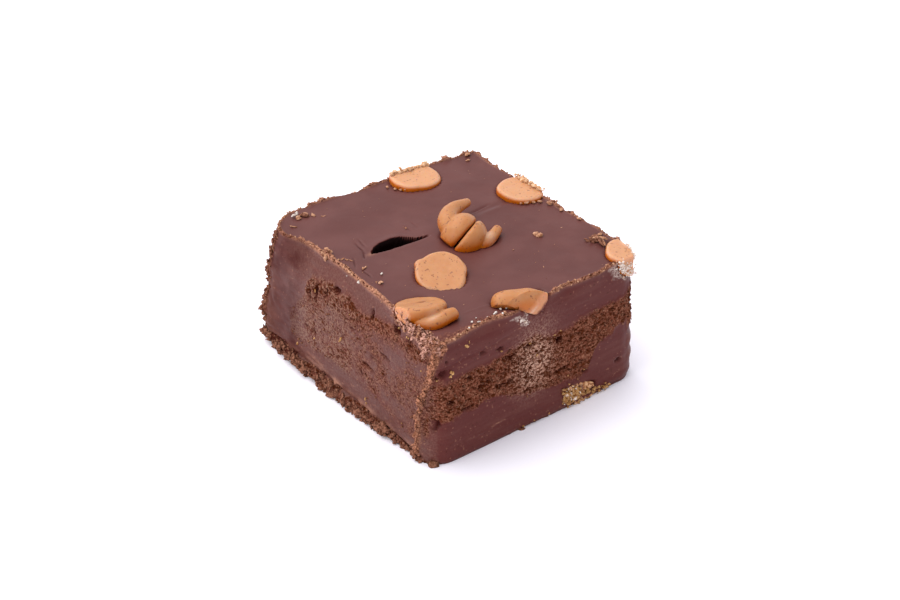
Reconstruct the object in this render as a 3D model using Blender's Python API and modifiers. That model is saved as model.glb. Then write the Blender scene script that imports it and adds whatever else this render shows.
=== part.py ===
"""Chocolate fudge: one hand-cut square with peanut-butter chips set in its top and sides.

Metres, +Z up. The origin is on the resting surface, under the middle of the square.
The -X and -Y sides are the ragged cut sides; the chips are named for where they lie,
with -Y as the front and -X as the left. Heights of chips count from the top face.
"""
import math

import bmesh
import bpy
from mathutils import Matrix, Vector, noise

MM = 0.001

# The square -----------------------------------------------------------------------
HEIGHT = 24.3 * MM
HALF_SIZE = Vector((22.4, 24.2)) * MM          # the even square that is then pulled uneven
# Where each corner of the uneven square lies, as (across, along) signs: (x, y).
TOP_CORNERS = {(-1, -1): (-22.4, -24.6), (1, -1): (22.1, -23.8),
               (1, 1): (23.2, 21.6), (-1, 1): (-21.6, 24.6)}
FOOT_CORNERS = {(-1, -1): (-22.4, -24.5), (1, -1): (23.1, -25.2),
                (1, 1): (23.1, 22.1), (-1, 1): (-22.4, 24.4)}
# Radius of each upright corner at the top and at the foot.
TOP_RADIUS = {(-1, -1): 1.3, (1, -1): 2.6, (1, 1): 1.3, (-1, 1): 7.0}
RADIUS_RISE = 3.0                              # how late the foot radius turns into the top one
FOOT_RADIUS = {(-1, -1): 4.0, (1, -1): 4.6, (1, 1): 3.0, (-1, 1): 2.4}
FOOT_EDGE = 0.8 * MM                           # rounding under the sides
FOOT_EDGE_AT_FRONT_RIGHT = 1.8 * MM            # the thumbed-in front right foot
TOP_EDGE = 0.5 * MM
RIM_RISE = 0.35 * MM                           # burr that the knife pulled up round the top
FOOT_STEP = 1.7 * MM                           # how far the left foot stands proud
FOOT_STEP_HEIGHT = 3.6 * MM
LEAN = 1.6 * MM                                # how far the left side's top edge lies in
LEAN_START = 17.0 * MM                         # the height where that side starts to lean
LEAN_REACH = 7.0 * MM                          # how far into the top the lean is felt
SIDE_RELIEF = 0.3 * MM
TOP_RELIEF = 0.2 * MM
PLAN_CUTS = 19
HEIGHT_CUTS = 11

# The split in the top: middle, half length, half width, depth, turn.
SPLIT_MIDDLE = Vector((-9.0, 4.2, -0.3)) * MM
SPLIT_SIZE = Vector((5.0, 0.8, 2.8)) * MM
SPLIT_TURN = math.radians(-8.0)

# The chips ------------------------------------------------------------------------
GAP = 0.3 * MM                                 # between a chip and the fudge round it
CHIP_RADIUS = 4.55 * MM
CHIP_DEPTH = 4.4 * MM
CHIP_RIM = 0.75 * MM
TURNED_STEPS = 20
RIM_STEPS = 3
BODY_STEPS = 5
TAIL_RINGS = 9
# Chips that lie base up: centre, height of the base's middle, radius, tilt about X, about Y.
FLAT_CHIPS = {
    "chip_disc": ((-8.1, -8.5), 0.95, 1.02, 12.5, -10.0),
    "chip_rear_left": ((8.4, 19.8), 0.72, 0.98, 1.5, 3.0),
    "chip_rear_right": ((20.2, 4.8), 0.72, 0.92, 1.0, 3.0),
    "chip_corner": ((20.6, -21.6), 0.35, 0.85, 3.0, 3.0),
}
# Chips that lie on their sides: middle of the base, way from the base into the chip,
# radius and depth of the body, and the curled tail as (x, y, height), radius.
CURLED_CHIPS = {
    "chip_curl_left": (
        (2.35, -1.35, 0.35), (-0.36, 0.77, 0.52), 3.75, 3.7,
        (((1.2, 0.1, 1.2), 2.1), ((1.35, 1.6, 2.1), 1.9), ((2.7, 3.0, 2.4), 1.6),
         ((4.4, 3.9, 2.5), 1.3), ((6.6, 4.4, 2.3), 1.0), ((8.7, 5.0, 1.9), 0.8))),
    "chip_curl_right": (
        (2.2, -2.1, 0.5), (0.40, -0.75, -0.52), 3.8, 3.6,
        (((3.0, -3.7, -0.5), 1.8), ((4.0, -4.7, 0.0), 1.4), ((5.2, -5.0, 0.5), 1.1),
         ((6.6, -4.6, 0.9), 0.95), ((8.1, -3.8, 1.0), 0.85))),
    "chip_front_left": (
        (-17.0, -14.3, 1.35), (-0.16, -0.30, -0.94), 4.25, 4.0,
        (((-19.0, -17.0, -0.4), 1.6), ((-18.6, -18.7, 0.0), 1.35), ((-17.2, -19.3, 0.4), 1.2),
         ((-15.4, -19.4, 0.75), 1.15), ((-13.6, -19.5, 0.8), 1.0))),
    "chip_front_edge": (
        (-0.6, -23.8, -1.3), (-0.85, 0.50, 0.10), 2.4, 2.6,
        (((0.9, -25.2, -1.2), 2.3), ((-0.5, -24.1, -1.4), 2.75), ((-2.0, -22.8, -1.2), 3.0),
         ((-3.5, -21.7, -0.8), 2.75), ((-5.0, -21.1, -0.4), 2.1), ((-6.5, -20.9, 0.0), 1.2))),
}
# The crushed chip low in the front side.
FOOT_CHIP_MIDDLE = Vector((10.2, -23.4, 2.35)) * MM
FOOT_CHIP_SIZE = Vector((5.5, 2.6, 2.0)) * MM

# Planes that the knife left: a point on each and its outward way, seen from above.
KNIFE_FRONT = ((0.0, -24.3), (0.006, -1.0))
KNIFE_FRONT_EDGE = ((0.0, -24.1), (0.006, -1.0))
KNIFE_LEFT = ((-20.9, 0.0), (-1.0, 0.0))
KNIFE_BACK = ((8.3, 22.5), (0.07, 1.0))
KNIFE_RIGHT = ((22.7, 4.3), (1.0, -0.025))
KNIFE_CORNER = ((20.9, -21.9), (0.89, -0.46))
KNIFE_FOOT = ((11.4, -25.1), (0.01, -1.0))
TRIMS = {
    "chip_rear_left": (KNIFE_BACK,),
    "chip_rear_right": (KNIFE_RIGHT,),
    "chip_corner": (KNIFE_FRONT, KNIFE_RIGHT, KNIFE_CORNER),
    "chip_front_left": (KNIFE_LEFT,),
    "chip_front_edge": (KNIFE_FRONT_EDGE,),
    "chip_foot": (KNIFE_FOOT,),
}

FUDGE_COLOUR = (0.14, 0.062, 0.052)
CHIP_COLOUR = (0.70, 0.33, 0.17)
CRUSHED_CHIP_COLOUR = (0.32, 0.15, 0.07)


def clear_scene():
    """Remove every object, so that the model starts from nothing."""
    for thing in list(bpy.data.objects):
        bpy.data.objects.remove(thing, do_unlink=True)


def make_collection(name):
    """Add a collection to the scene and return it."""
    collection = bpy.data.collections.new(name)
    bpy.context.scene.collection.children.link(collection)
    return collection


def make_material(name, colour, roughness):
    """A Principled material of one colour."""
    material = bpy.data.materials.new(name)
    material.use_nodes = True
    shader = material.node_tree.nodes["Principled BSDF"]
    shader.inputs["Base Color"].default_value = (*colour, 1.0)
    shader.inputs["Roughness"].default_value = roughness
    shader.inputs["Metallic"].default_value = 0.0
    material.diffuse_color = (*colour, 1.0)
    return material


def blend(low, high, factor):
    """Straight blend from low to high."""
    return low + (high - low) * factor


def smooth_step(low, high, value):
    """0 below low, 1 above high, and an even S between."""
    factor = min(max((value - low) / (high - low), 0.0), 1.0)
    return factor * factor * (3.0 - 2.0 * factor)


# The block ------------------------------------------------------------------------
def crowd_edges(value):
    """Spread points from -1 to 1 so that they stand closer together near the ends."""
    return value + 0.45 * math.sin(math.pi * value) / math.pi


def corner_of(x, y):
    """The corner, as a pair of signs, of the quarter that a point lies in."""
    return (1 if x >= 0.0 else -1, 1 if y >= 0.0 else -1)


def round_corner(x, y, radius):
    """Pull a point of the even square into its corner's arc.

    Returns the new point, its distance in from the side, and the way out of the side.
    """
    sign_x, sign_y = corner_of(x, y)
    centre = Vector((sign_x * (HALF_SIZE.x - radius), sign_y * (HALF_SIZE.y - radius)))
    offset = Vector((x, y)) - centre
    reach_x = offset.x * sign_x
    reach_y = offset.y * sign_y
    if reach_x > 0.0 and reach_y > 0.0:
        distance = max(reach_x, reach_y)
        outward = offset.normalized()
        return centre + outward * distance, radius - distance, outward
    inset_x = HALF_SIZE.x - abs(x)
    inset_y = HALF_SIZE.y - abs(y)
    if inset_x < inset_y:
        return Vector((x, y)), inset_x, Vector((sign_x, 0.0))
    return Vector((x, y)), inset_y, Vector((0.0, sign_y))


def round_edge(inset, drop, radius):
    """Pull a point near an edge into the edge's arc.

    inset is its distance in from the side, drop its distance from the top or foot face.
    """
    across = radius - inset
    along = radius - drop
    if across <= 0.0 or along <= 0.0:
        return inset, drop
    scale = max(across, along) / math.hypot(across, along)
    return radius - across * scale, radius - along * scale


def foot_edge_radius(x, y):
    """Rounding under the side, which grows towards the front right corner."""
    front_right = Vector((HALF_SIZE.x, -HALF_SIZE.y))
    distance = (Vector((x, y)) - front_right).length
    return blend(FOOT_EDGE_AT_FRONT_RIGHT, FOOT_EDGE, smooth_step(3.0 * MM, 14.0 * MM, distance))


def pull_uneven(x, y, height_share):
    """Carry a point of the even square to the uneven one by its four corners."""
    share_x = 0.5 + 0.5 * x / HALF_SIZE.x
    share_y = 0.5 + 0.5 * y / HALF_SIZE.y
    place = Vector((0.0, 0.0))
    for sign_x, sign_y in TOP_CORNERS:
        weight = (share_x if sign_x > 0 else 1.0 - share_x)
        weight *= (share_y if sign_y > 0 else 1.0 - share_y)
        foot = Vector(FOOT_CORNERS[sign_x, sign_y])
        top = Vector(TOP_CORNERS[sign_x, sign_y])
        place += weight * blend(foot, top, height_share) * MM
    return place


def lean_in(x, y, z):
    """How far the left side is carried in near its top, between its two corners."""
    from_side = x - TOP_CORNERS[-1, -1][0] * MM
    along = smooth_step(-16.0 * MM, -9.0 * MM, y) * smooth_step(21.0 * MM, 14.0 * MM, y)
    high = max((z - LEAN_START) / (HEIGHT - LEAN_START), 0.0) ** 2
    return LEAN * along * high * smooth_step(LEAN_REACH, 0.0, from_side)


def ripple(x, y, z, size):
    """Even noise between about -1 and 1, whose lumps are size across."""
    return noise.noise(Vector((x, y, z)) / size)


def side_relief(x, y, z, outward):
    """How far a side stands out of its plane: soft lumps, and the crumbled left foot."""
    lumps = ripple(x, y, z, 6.0 * MM) + 0.5 * ripple(x + 1.0, y, z, 2.6 * MM)
    fade = smooth_step(0.0, 4.0 * MM, HEIGHT - z)
    step_height = FOOT_STEP_HEIGHT * smooth_step(-19.0 * MM, 12.0 * MM, y)
    left = max(-outward.x, 0.0) ** 4
    step = 0.0
    if step_height > 0.0:
        step = FOOT_STEP * left * (1.0 - smooth_step(0.55 * step_height, 1.15 * step_height, z))
    return SIDE_RELIEF * lumps * blend(0.5, 1.0, fade) + step


def top_relief(x, y, inset):
    """How far the top stands over its plane: slow waves, and the burr round its edge."""
    waves = ripple(x, y, 0.0, 11.0 * MM) + 0.4 * ripple(x, y, 0.02, 4.0 * MM)
    burr = RIM_RISE * (1.0 - smooth_step(0.2 * MM, 1.2 * MM, inset))
    burr *= 0.6 + 0.8 * ripple(x, y, 0.05, 3.0 * MM)
    return TOP_RELIEF * waves + burr


def block_point(cube_point):
    """Carry a point of the cube from -1 to 1 to its place on the fudge."""
    height_share = 0.5 + 0.5 * crowd_edges(cube_point.z)
    x = crowd_edges(cube_point.x) * HALF_SIZE.x
    y = crowd_edges(cube_point.y) * HALF_SIZE.y
    corner = corner_of(x, y)
    radius = blend(FOOT_RADIUS[corner], TOP_RADIUS[corner], height_share ** RADIUS_RISE) * MM
    place, inset, outward = round_corner(x, y, radius)
    z = height_share * HEIGHT
    foot_radius = foot_edge_radius(place.x, place.y)
    new_inset, new_z = round_edge(inset, z, foot_radius)
    new_inset, new_drop = round_edge(new_inset, HEIGHT - new_z, TOP_EDGE)
    place += outward * (inset - new_inset)
    flat = pull_uneven(place.x, place.y, height_share)
    z = HEIGHT - new_drop
    flat.x += lean_in(flat.x, flat.y, z)
    if inset < 1e-9 and z > 1e-7:
        flat += outward * side_relief(flat.x, flat.y, z, outward)
    if height_share > 1.0 - 1e-6:
        z += top_relief(flat.x, flat.y, inset)
    return Vector((flat.x, flat.y, z))


def subdivide_along(mesh, axis, cuts):
    """Cut every edge that runs along one axis into even parts."""
    edges = []
    for edge in mesh.edges:
        run = edge.verts[1].co - edge.verts[0].co
        if abs(run[axis]) > 0.5 * run.length:
            edges.append(edge)
    bmesh.ops.subdivide_edges(mesh, edges=edges, cuts=cuts, use_grid_fill=True)


def make_block(collection, material):
    """The fudge: a cube whose points are carried to the uneven, rounded square."""
    mesh = bmesh.new()
    bmesh.ops.create_cube(mesh, size=2.0)
    for axis, cuts in enumerate((PLAN_CUTS, PLAN_CUTS, HEIGHT_CUTS)):
        subdivide_along(mesh, axis, cuts)
    for vert in mesh.verts:
        vert.co = block_point(vert.co)
    resting = [face for face in mesh.faces if all(abs(vert.co.z) < 1e-8 for vert in face.verts)]
    bmesh.ops.dissolve_faces(mesh, faces=resting, use_verts=True)
    return finish_mesh(mesh, "fudge_block", collection, material)


def finish_mesh(mesh, name, collection, material):
    """Put a bmesh into a new object, shaded smooth but for its sharp edges."""
    data = bpy.data.meshes.new(name)
    mesh.to_mesh(data)
    mesh.free()
    data.shade_smooth()
    data.set_sharp_from_angle(angle=math.radians(35.0))
    thing = bpy.data.objects.new(name, data)
    collection.objects.link(thing)
    if material:
        data.materials.append(material)
    return thing


# The chips ------------------------------------------------------------------------
def chip_profile(radius, depth, grow):
    """Half outline of a chip, base up: base, rounded rim, and body down to its end."""
    points = [Vector((0.0, 0.0, grow))]
    for step in range(RIM_STEPS + 1):
        turn = math.radians(90.0 * (1.0 - step / RIM_STEPS))
        points.append(Vector((radius - CHIP_RIM + (CHIP_RIM + grow) * math.cos(turn), 0.0,
                              -CHIP_RIM + (CHIP_RIM + grow) * math.sin(turn))))
    for step in range(1, BODY_STEPS + 1):
        turn = math.radians(90.0 * step / BODY_STEPS)
        points.append(Vector(((radius + grow) * math.cos(turn) ** 0.85, 0.0,
                              -CHIP_RIM - (depth - CHIP_RIM + grow) * math.sin(turn))))
    points[-1].x = 0.0
    return points


def make_turned(name, profile, collection, material):
    """A half outline turned about the upright axis."""
    mesh = bmesh.new()
    verts = [mesh.verts.new(point) for point in profile]
    for first, second in zip(verts, verts[1:]):
        mesh.edges.new((first, second))
    turned = finish_mesh(mesh, name, collection, material)
    screw = turned.modifiers.new("turn", "SCREW")
    screw.axis = "Z"
    screw.steps = TURNED_STEPS
    screw.render_steps = TURNED_STEPS
    screw.use_merge_vertices = True
    screw.merge_threshold = 0.00001
    screw.use_smooth_shade = True
    return turned


def make_flat_chip(name, collection, material, grow):
    """A chip that lies base up, tilted as it was pressed in."""
    centre, height, share, tilt_x, tilt_y = FLAT_CHIPS[name]
    profile = chip_profile(CHIP_RADIUS * share, CHIP_DEPTH, grow)
    chip = make_turned(name, profile, collection, material)
    chip.location = (centre[0] * MM, centre[1] * MM, HEIGHT + height * MM)
    chip.rotation_euler = (math.radians(tilt_x), math.radians(tilt_y), 0.0)
    return chip


def make_curled_chip(name, collection, material, grow):
    """A chip on its side: a turned body with its base at one end, joined to a curled tail."""
    middle, into, radius, depth, stations = CURLED_CHIPS[name]
    way = Vector(into).normalized()
    body = make_turned(name, chip_profile(radius * MM, depth * MM, grow), collection, material)
    body.location = Vector(middle) * MM + Vector((0.0, 0.0, HEIGHT))
    body.rotation_euler = Vector((0.0, 0.0, -1.0)).rotation_difference(way).to_euler()
    tail = make_tail(name + "_tail", stations, grow, collection)
    join = body.modifiers.new("tail", "BOOLEAN")
    join.operation = "UNION"
    join.solver = "EXACT"
    join.object = tail
    return body


def route_value(values, share):
    """Read a smooth route through evenly spaced values, at a share from 0 to 1 of its run."""
    last = len(values) - 1
    position = share * last
    start = min(int(position), last - 1)
    step = position - start
    before = values[max(start - 1, 0)]
    first = values[start]
    second = values[start + 1]
    after = values[min(start + 2, last)]
    return 0.5 * ((2.0 * first) + (second - before) * step
                  + (2.0 * before - 5.0 * first + 4.0 * second - after) * step ** 2
                  + (3.0 * first - before - 3.0 * second + after) * step ** 3)


def make_tail(name, stations, grow, collection):
    """A tapered tube through the stations of a chip's tail, with a round tip."""
    places = [Vector(point) * MM + Vector((0.0, 0.0, HEIGHT)) for point, _ in stations]
    radii = [radius * MM for _, radius in stations]
    curve = bpy.data.curves.new(name, "CURVE")
    curve.dimensions = "3D"
    curve.bevel_depth = MM
    curve.bevel_resolution = 3
    curve.use_fill_caps = True
    spline = curve.splines.new("POLY")
    spline.points.add(TAIL_RINGS - 1)
    for ring, point in enumerate(spline.points):
        share = math.sin(0.5 * math.pi * ring / (TAIL_RINGS - 1))
        tip = math.sqrt(max(1.0 - max((share - 0.9) / 0.102, 0.0) ** 2, 0.0))
        place = route_value(places, share)
        if ring == TAIL_RINGS - 1:
            place += (place - route_value(places, 0.98)).normalized() * grow
        point.co = (*place, 1.0)
        point.radius = (route_value(radii, share) * tip + grow) / MM
    guide = bpy.data.objects.new(name + "_axis", curve)
    collection.objects.link(guide)
    tail = curve_to_mesh(guide, name, collection)
    hide_cutter(tail)
    return tail


def curve_to_mesh(guide, name, collection):
    """Make a curve object into a closed mesh object and remove the curve."""
    bpy.context.view_layer.update()
    evaluated = guide.evaluated_get(bpy.context.evaluated_depsgraph_get())
    data = bpy.data.meshes.new_from_object(evaluated)
    mesh = bmesh.new()
    mesh.from_mesh(data)
    bmesh.ops.remove_doubles(mesh, verts=mesh.verts, dist=0.000001)
    bmesh.ops.recalc_face_normals(mesh, faces=mesh.faces)
    thing = finish_mesh(mesh, name, collection, None)
    thing.matrix_world = guide.matrix_world
    bpy.data.objects.remove(guide, do_unlink=True)
    bpy.data.meshes.remove(data)
    return thing


def make_foot_chip(name, collection, material, grow):
    """The crushed chip: a lumpy egg shape along the foot of the front side."""
    mesh = bmesh.new()
    bmesh.ops.create_uvsphere(mesh, u_segments=20, v_segments=12, radius=1.0)
    for vert in mesh.verts:
        lump = 1.0 + 0.16 * noise.noise(vert.co * 1.9) + 0.1 * noise.noise(vert.co * 4.1)
        size = FOOT_CHIP_SIZE + Vector((grow, grow, grow))
        vert.co = Vector(axis * length * lump for axis, length in zip(vert.co, size))
    chip = finish_mesh(mesh, name, collection, material)
    chip.location = FOOT_CHIP_MIDDLE
    return chip


def chip_makers():
    """Each chip's name with the function that makes it."""
    makers = {name: make_flat_chip for name in FLAT_CHIPS}
    makers.update({name: make_curled_chip for name in CURLED_CHIPS})
    makers["chip_foot"] = make_foot_chip
    return makers


# Cutters --------------------------------------------------------------------------
def hide_cutter(cutter):
    """Show a cutter as wire only."""
    cutter.hide_render = True
    cutter.display_type = "WIRE"


def subtract(thing, cutter):
    """Cut one object out of another."""
    cut = thing.modifiers.new("cut_" + cutter.name, "BOOLEAN")
    cut.operation = "DIFFERENCE"
    cut.solver = "EXACT"
    cut.object = cutter


def make_knife(name, plane, collection):
    """A box whose near face is the plane that the knife left."""
    point, way = plane
    size = 60.0 * MM
    outward = Vector((*way, 0.0)).normalized()
    mesh = bmesh.new()
    bmesh.ops.create_cube(mesh, size=size)
    knife = finish_mesh(mesh, name, collection, None)
    middle = Vector((point[0] * MM, point[1] * MM, 0.5 * HEIGHT)) + outward * size / 2
    turn = math.atan2(outward.y, outward.x)
    knife.matrix_world = Matrix.Translation(middle) @ Matrix.Rotation(turn, 4, "Z")
    hide_cutter(knife)
    return knife


def make_split_cutter(collection):
    """A long thin egg shape, leaning back, that opens the split in the top."""
    mesh = bmesh.new()
    bmesh.ops.create_uvsphere(mesh, u_segments=18, v_segments=8, radius=1.0)
    bmesh.ops.scale(mesh, vec=SPLIT_SIZE, verts=mesh.verts)
    cutter = finish_mesh(mesh, "split_cutter", collection, None)
    cutter.location = SPLIT_MIDDLE + Vector((0.0, 0.0, HEIGHT))
    cutter.rotation_euler = (math.radians(-22.0), 0.0, SPLIT_TURN)
    hide_cutter(cutter)
    return cutter


def main():
    """Build the fudge, its chips and the cutters that seat them."""
    clear_scene()
    parts = make_collection("chocolate_fudge")
    cutters = make_collection("cutters")
    fudge = make_material("fudge", FUDGE_COLOUR, 0.5)
    chip_material = make_material("peanut_chip", CHIP_COLOUR, 0.45)
    crushed = make_material("crushed_chip", CRUSHED_CHIP_COLOUR, 0.6)

    block = make_block(parts, fudge)
    subtract(block, make_split_cutter(cutters))
    for name, maker in chip_makers().items():
        chip = maker(name, parts, crushed if name == "chip_foot" else chip_material, 0.0)
        pocket = maker(name, cutters, None, GAP)
        pocket.name = name + "_pocket"
        hide_cutter(pocket)
        subtract(block, pocket)
        for number, plane in enumerate(TRIMS.get(name, ())):
            subtract(chip, make_knife(f"{name}_knife_{number}", plane, cutters))


main()
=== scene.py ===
"""Looks of the chocolate fudge square and its peanut-butter chips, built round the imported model.

Shapes are worked out in millimetres and put into the meshes in metres. The front is -Y,
the left is -X; heights of chips count from the top face. Nothing here moves.
"""
import itertools
import math

import bmesh
import bpy
import numpy as np
from mathutils import Matrix, Vector


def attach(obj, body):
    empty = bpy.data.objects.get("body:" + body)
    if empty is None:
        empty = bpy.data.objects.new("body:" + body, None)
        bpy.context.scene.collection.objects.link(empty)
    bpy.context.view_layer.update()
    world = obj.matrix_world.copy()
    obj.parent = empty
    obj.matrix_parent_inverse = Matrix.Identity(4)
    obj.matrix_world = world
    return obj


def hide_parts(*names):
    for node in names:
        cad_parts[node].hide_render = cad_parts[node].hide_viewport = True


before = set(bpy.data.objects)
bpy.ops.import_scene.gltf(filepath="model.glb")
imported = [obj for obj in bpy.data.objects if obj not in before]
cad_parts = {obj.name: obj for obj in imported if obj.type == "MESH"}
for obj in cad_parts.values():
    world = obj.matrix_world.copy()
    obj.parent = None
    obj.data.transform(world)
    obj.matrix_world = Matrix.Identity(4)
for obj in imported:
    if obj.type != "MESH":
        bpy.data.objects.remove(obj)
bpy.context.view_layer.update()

MM = 0.001

# The square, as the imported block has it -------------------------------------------
HEIGHT = 24.3
HALF = np.array((22.4, 24.2))
CORNERS = ((-1, -1), (1, -1), (1, 1), (-1, 1))
TOP_CORNERS = np.array(((-22.4, -24.6), (22.1, -23.8), (23.2, 21.6), (-21.6, 24.6)))
FOOT_CORNERS = np.array(((-22.4, -24.5), (23.1, -25.2), (23.1, 22.1), (-22.4, 24.4)))
TOP_RADII = np.array((1.3, 2.6, 1.3, 7.0))
FOOT_RADII = np.array((4.0, 4.6, 3.0, 2.4))
TOP_EDGE = 0.35
FOOT_EDGE = 0.8
FOOT_EDGE_AT_FRONT_RIGHT = 1.8
TOP_CELLS = 178
SIDE_ROWS = 93
CROWD = 0.15

# Chips that lie base up: centre, height of the base, radius, tilt about X and Y, and how much painted
# light lifts the chip's colour.
CHIP_RADIUS = 4.55
CHIP_DEPTH = 4.4
CHIP_RIM = 0.7
FLAT_CHIPS = {
    "chip_disc": ((-8.1, -8.5), 0.95, 1.02, 12.5, -10.0, 0.35),
    "chip_rear_left": ((8.4, 19.8), 0.86, 0.98, 1.5, 3.0, 1.0),
    "chip_rear_right": ((20.2, 4.8), 0.72, 0.92, 1.0, 3.0, 1.0),
    "chip_corner": ((21.2, -22.2), 0.45, 0.85, 3.0, 3.0, 1.0),
}
# How far the outline of a flat chip leaves its circle: (turn in degrees, growth).
OUTLINES = {
    "chip_disc": ((-180, -0.3), (-150, -0.1), (-125, 0.2), (-104, 0.5), (-88, 0.45), (-72, -0.1),
                  (-50, -0.5), (-25, -0.35), (0, -0.2), (40, 0.1), (70, 0.05), (98, 0.0),
                   (107, 0.36), (115, 0.4), (127, -0.05), (150, -0.3), (180, -0.3)),
    "chip_rear_left": ((-180, 0.4), (-150, 0.3), (-120, -0.2), (-60, 0.1), (0, -0.1), (180, 0.4)),
    "chip_rear_right": ((-180, -0.1), (-120, 0.1), (-80, 0.35), (-40, 0.2), (90, 0.0), (180, -0.1)),
    "chip_corner": ((-180, 0.3), (-140, -0.2), (-60, 0.2), (0, 0.0), (90, 0.3), (130, -0.2),
                    (180, 0.3)),
}
# Chips on their sides: middle of the base, way from the base into the body, radius, depth,
# and the stations of the curled tail as (x, y, height, radius).
CURLED_CHIPS = {
    "chip_curl_left": (
        (2.35, -1.35, 0.35), (-0.36, 0.77, 0.52), 3.75, 3.7,
        ((1.2, 0.1, 1.2, 2.1), (1.35, 1.6, 2.1, 1.9), (2.7, 3.0, 2.4, 1.6),
         (4.4, 3.9, 2.5, 1.3), (6.6, 4.4, 2.3, 1.0), (8.7, 5.0, 1.9, 0.75))),
    "chip_curl_right": (
        (2.12, -1.85, 0.6), (0.40, -0.75, -0.52), 3.8, 3.6,
        ((3.0, -3.7, -0.5, 1.8), (4.0, -4.7, 0.0, 1.4), (5.2, -5.0, 0.5, 1.1),
         (6.6, -4.6, 0.9, 0.95), (8.1, -3.8, 1.0, 0.85))),
    "chip_front_left": (
        (-17.0, -14.3, 1.35), (-0.16, -0.30, -0.94), 4.25, 4.0,
        ((-19.0, -17.0, -0.4, 1.6), (-18.6, -18.7, 0.0, 1.35), (-17.2, -19.3, 0.4, 1.2),
         (-15.4, -19.4, 0.75, 1.15), (-13.6, -19.5, 0.8, 1.0))),
    "chip_front_edge": (
        (-0.6, -23.8, -1.2), (-0.85, 0.50, 0.10), 2.4, 2.6,
        ((0.9, -25.2, -1.2, 2.3), (-0.5, -24.2, -1.2, 2.8), (-2.0, -23.2, -1.05, 3.1),
         (-3.6, -22.1, -0.75, 2.8), (-5.4, -21.2, -0.1, 2.2), (-7.2, -20.7, 0.3, 1.2))),
}
# Sides that a curl is squeezed flat on: a point and the outward way.
SQUEEZES = {
    "chip_curl_left": ((-1.0, -2.4, HEIGHT), (-0.549, 0.055, -0.455)),
    "chip_front_edge": ((-5.0, -22.4, HEIGHT - 0.4), (-0.50, -0.60, -0.62)),
}
FOOT_CHIP_MIDDLE = np.array((10.2, -23.4, 2.0))
FOOT_CHIP_SIZE = np.array((5.5, 2.6, 2.2))

# Planes that the knife left: a point on each and its outward way.
KNIFE_RIGHT = ((22.7, 4.3, 0.0), (1.0, -0.025, 0.0))
KNIVES = {
    "chip_rear_left": (((8.3, 22.5, 0.0), (0.07, 1.0, 0.0)),),
    "chip_rear_right": (KNIFE_RIGHT,),
    "chip_corner": (((0.0, -24.3, 0.0), (0.006, -1.0, 0.0)), KNIFE_RIGHT,
                    ((21.6, -22.6, 0.0), (0.89, -0.46, 0.0))),
    "chip_front_left": (((-20.9, 0.0, 0.0), (-1.0, 0.0, 0.0)),),
    "chip_front_edge": (((0.0, -24.35, 22.5), (0.006, -1.0, 0.05)),),
    "chip_foot": (((11.4, -24.95, 0.0), (0.01, -1.0, 0.0)),),
}


# Plain maths ----------------------------------------------------------------------
def smooth_step(low, high, value):
    """0 below low, 1 above high, and an even S between."""
    share = np.clip((value - low) / (high - low), 0.0, 1.0)
    return share * share * (3.0 - 2.0 * share)


def blend(low, high, share):
    """Straight blend from low to high."""
    return low + (high - low) * share


def hump(distance):
    """1 at no distance, falling as a bell."""
    return np.exp(-distance * distance)


def stations(value, points):
    """Read a line of (place, amount) stations at each value, straight between them."""
    places, amounts = zip(*points)
    return np.interp(value, places, amounts)


def chance(cell, seed):
    """A fixed even share from 0 to 1 for each whole-number cell, by scrambling its place."""
    x, y, z = (cell[..., axis].astype(np.int64).astype(np.uint32) for axis in range(3))
    mixed = x * np.uint32(73856093) ^ y * np.uint32(19349663) ^ z * np.uint32(83492791)
    mixed = mixed ^ np.uint32(seed * 2654435761 % 2 ** 32)
    mixed = (mixed ^ (mixed >> np.uint32(16))) * np.uint32(0x7FEB352D)
    mixed = (mixed ^ (mixed >> np.uint32(15))) * np.uint32(0x846CA68B)
    return (mixed ^ (mixed >> np.uint32(16))) / 2.0 ** 32


def ripple(points, size, seed=0):
    """Even noise from -1 to 1: a chance at each corner of a cell, blended smoothly across."""
    places = points / size
    cell = np.floor(places)
    share = places - cell
    share = share ** 3 * (share * (share * 6.0 - 15.0) + 10.0)
    total = 0.0
    for corner in itertools.product((0, 1), repeat=3):
        weight = np.prod(np.where(corner, share, 1.0 - share), axis=-1)
        total = total + weight * chance(cell + corner, seed)
    return 2.0 * total - 1.0


def grains(points, size, seed=0):
    """How near, in cells, the nearest and second nearest of seeds strewn one to a cell lie."""
    places = points / size
    cell = np.floor(places)
    near = np.full(places.shape[:-1], 9.0)
    second = near.copy()
    for corner in itertools.product((-1, 0, 1), repeat=3):
        other = cell + corner
        spot = other + np.stack([chance(other, seed + axis) for axis in (1, 2, 3)], axis=-1)
        distance = np.linalg.norm(places - spot, axis=-1)
        second = np.minimum(second, np.maximum(near, distance))
        near = np.minimum(near, distance)
    return near, second


# Meshes ---------------------------------------------------------------------------
def put_mesh(name, points, faces, shades=None):
    """Put points in millimetres and faces into a new object, with its shades as attributes."""
    mesh = bpy.data.meshes.new(name)
    mesh.from_pydata((np.asarray(points) * MM).tolist(), [], faces)
    mesh.update()
    mesh.shade_smooth()
    thing = bpy.data.objects.new(name, mesh)
    bpy.context.scene.collection.objects.link(thing)
    put_shades(mesh, shades or {})
    return thing


def put_shades(mesh, shades):
    """Store each named share of the surface as an attribute of the points."""
    for key, values in shades.items():
        attribute = mesh.attributes.new(key, "FLOAT", "POINT")
        attribute.data.foreach_set("value", np.asarray(values, np.float32).ravel())


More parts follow.
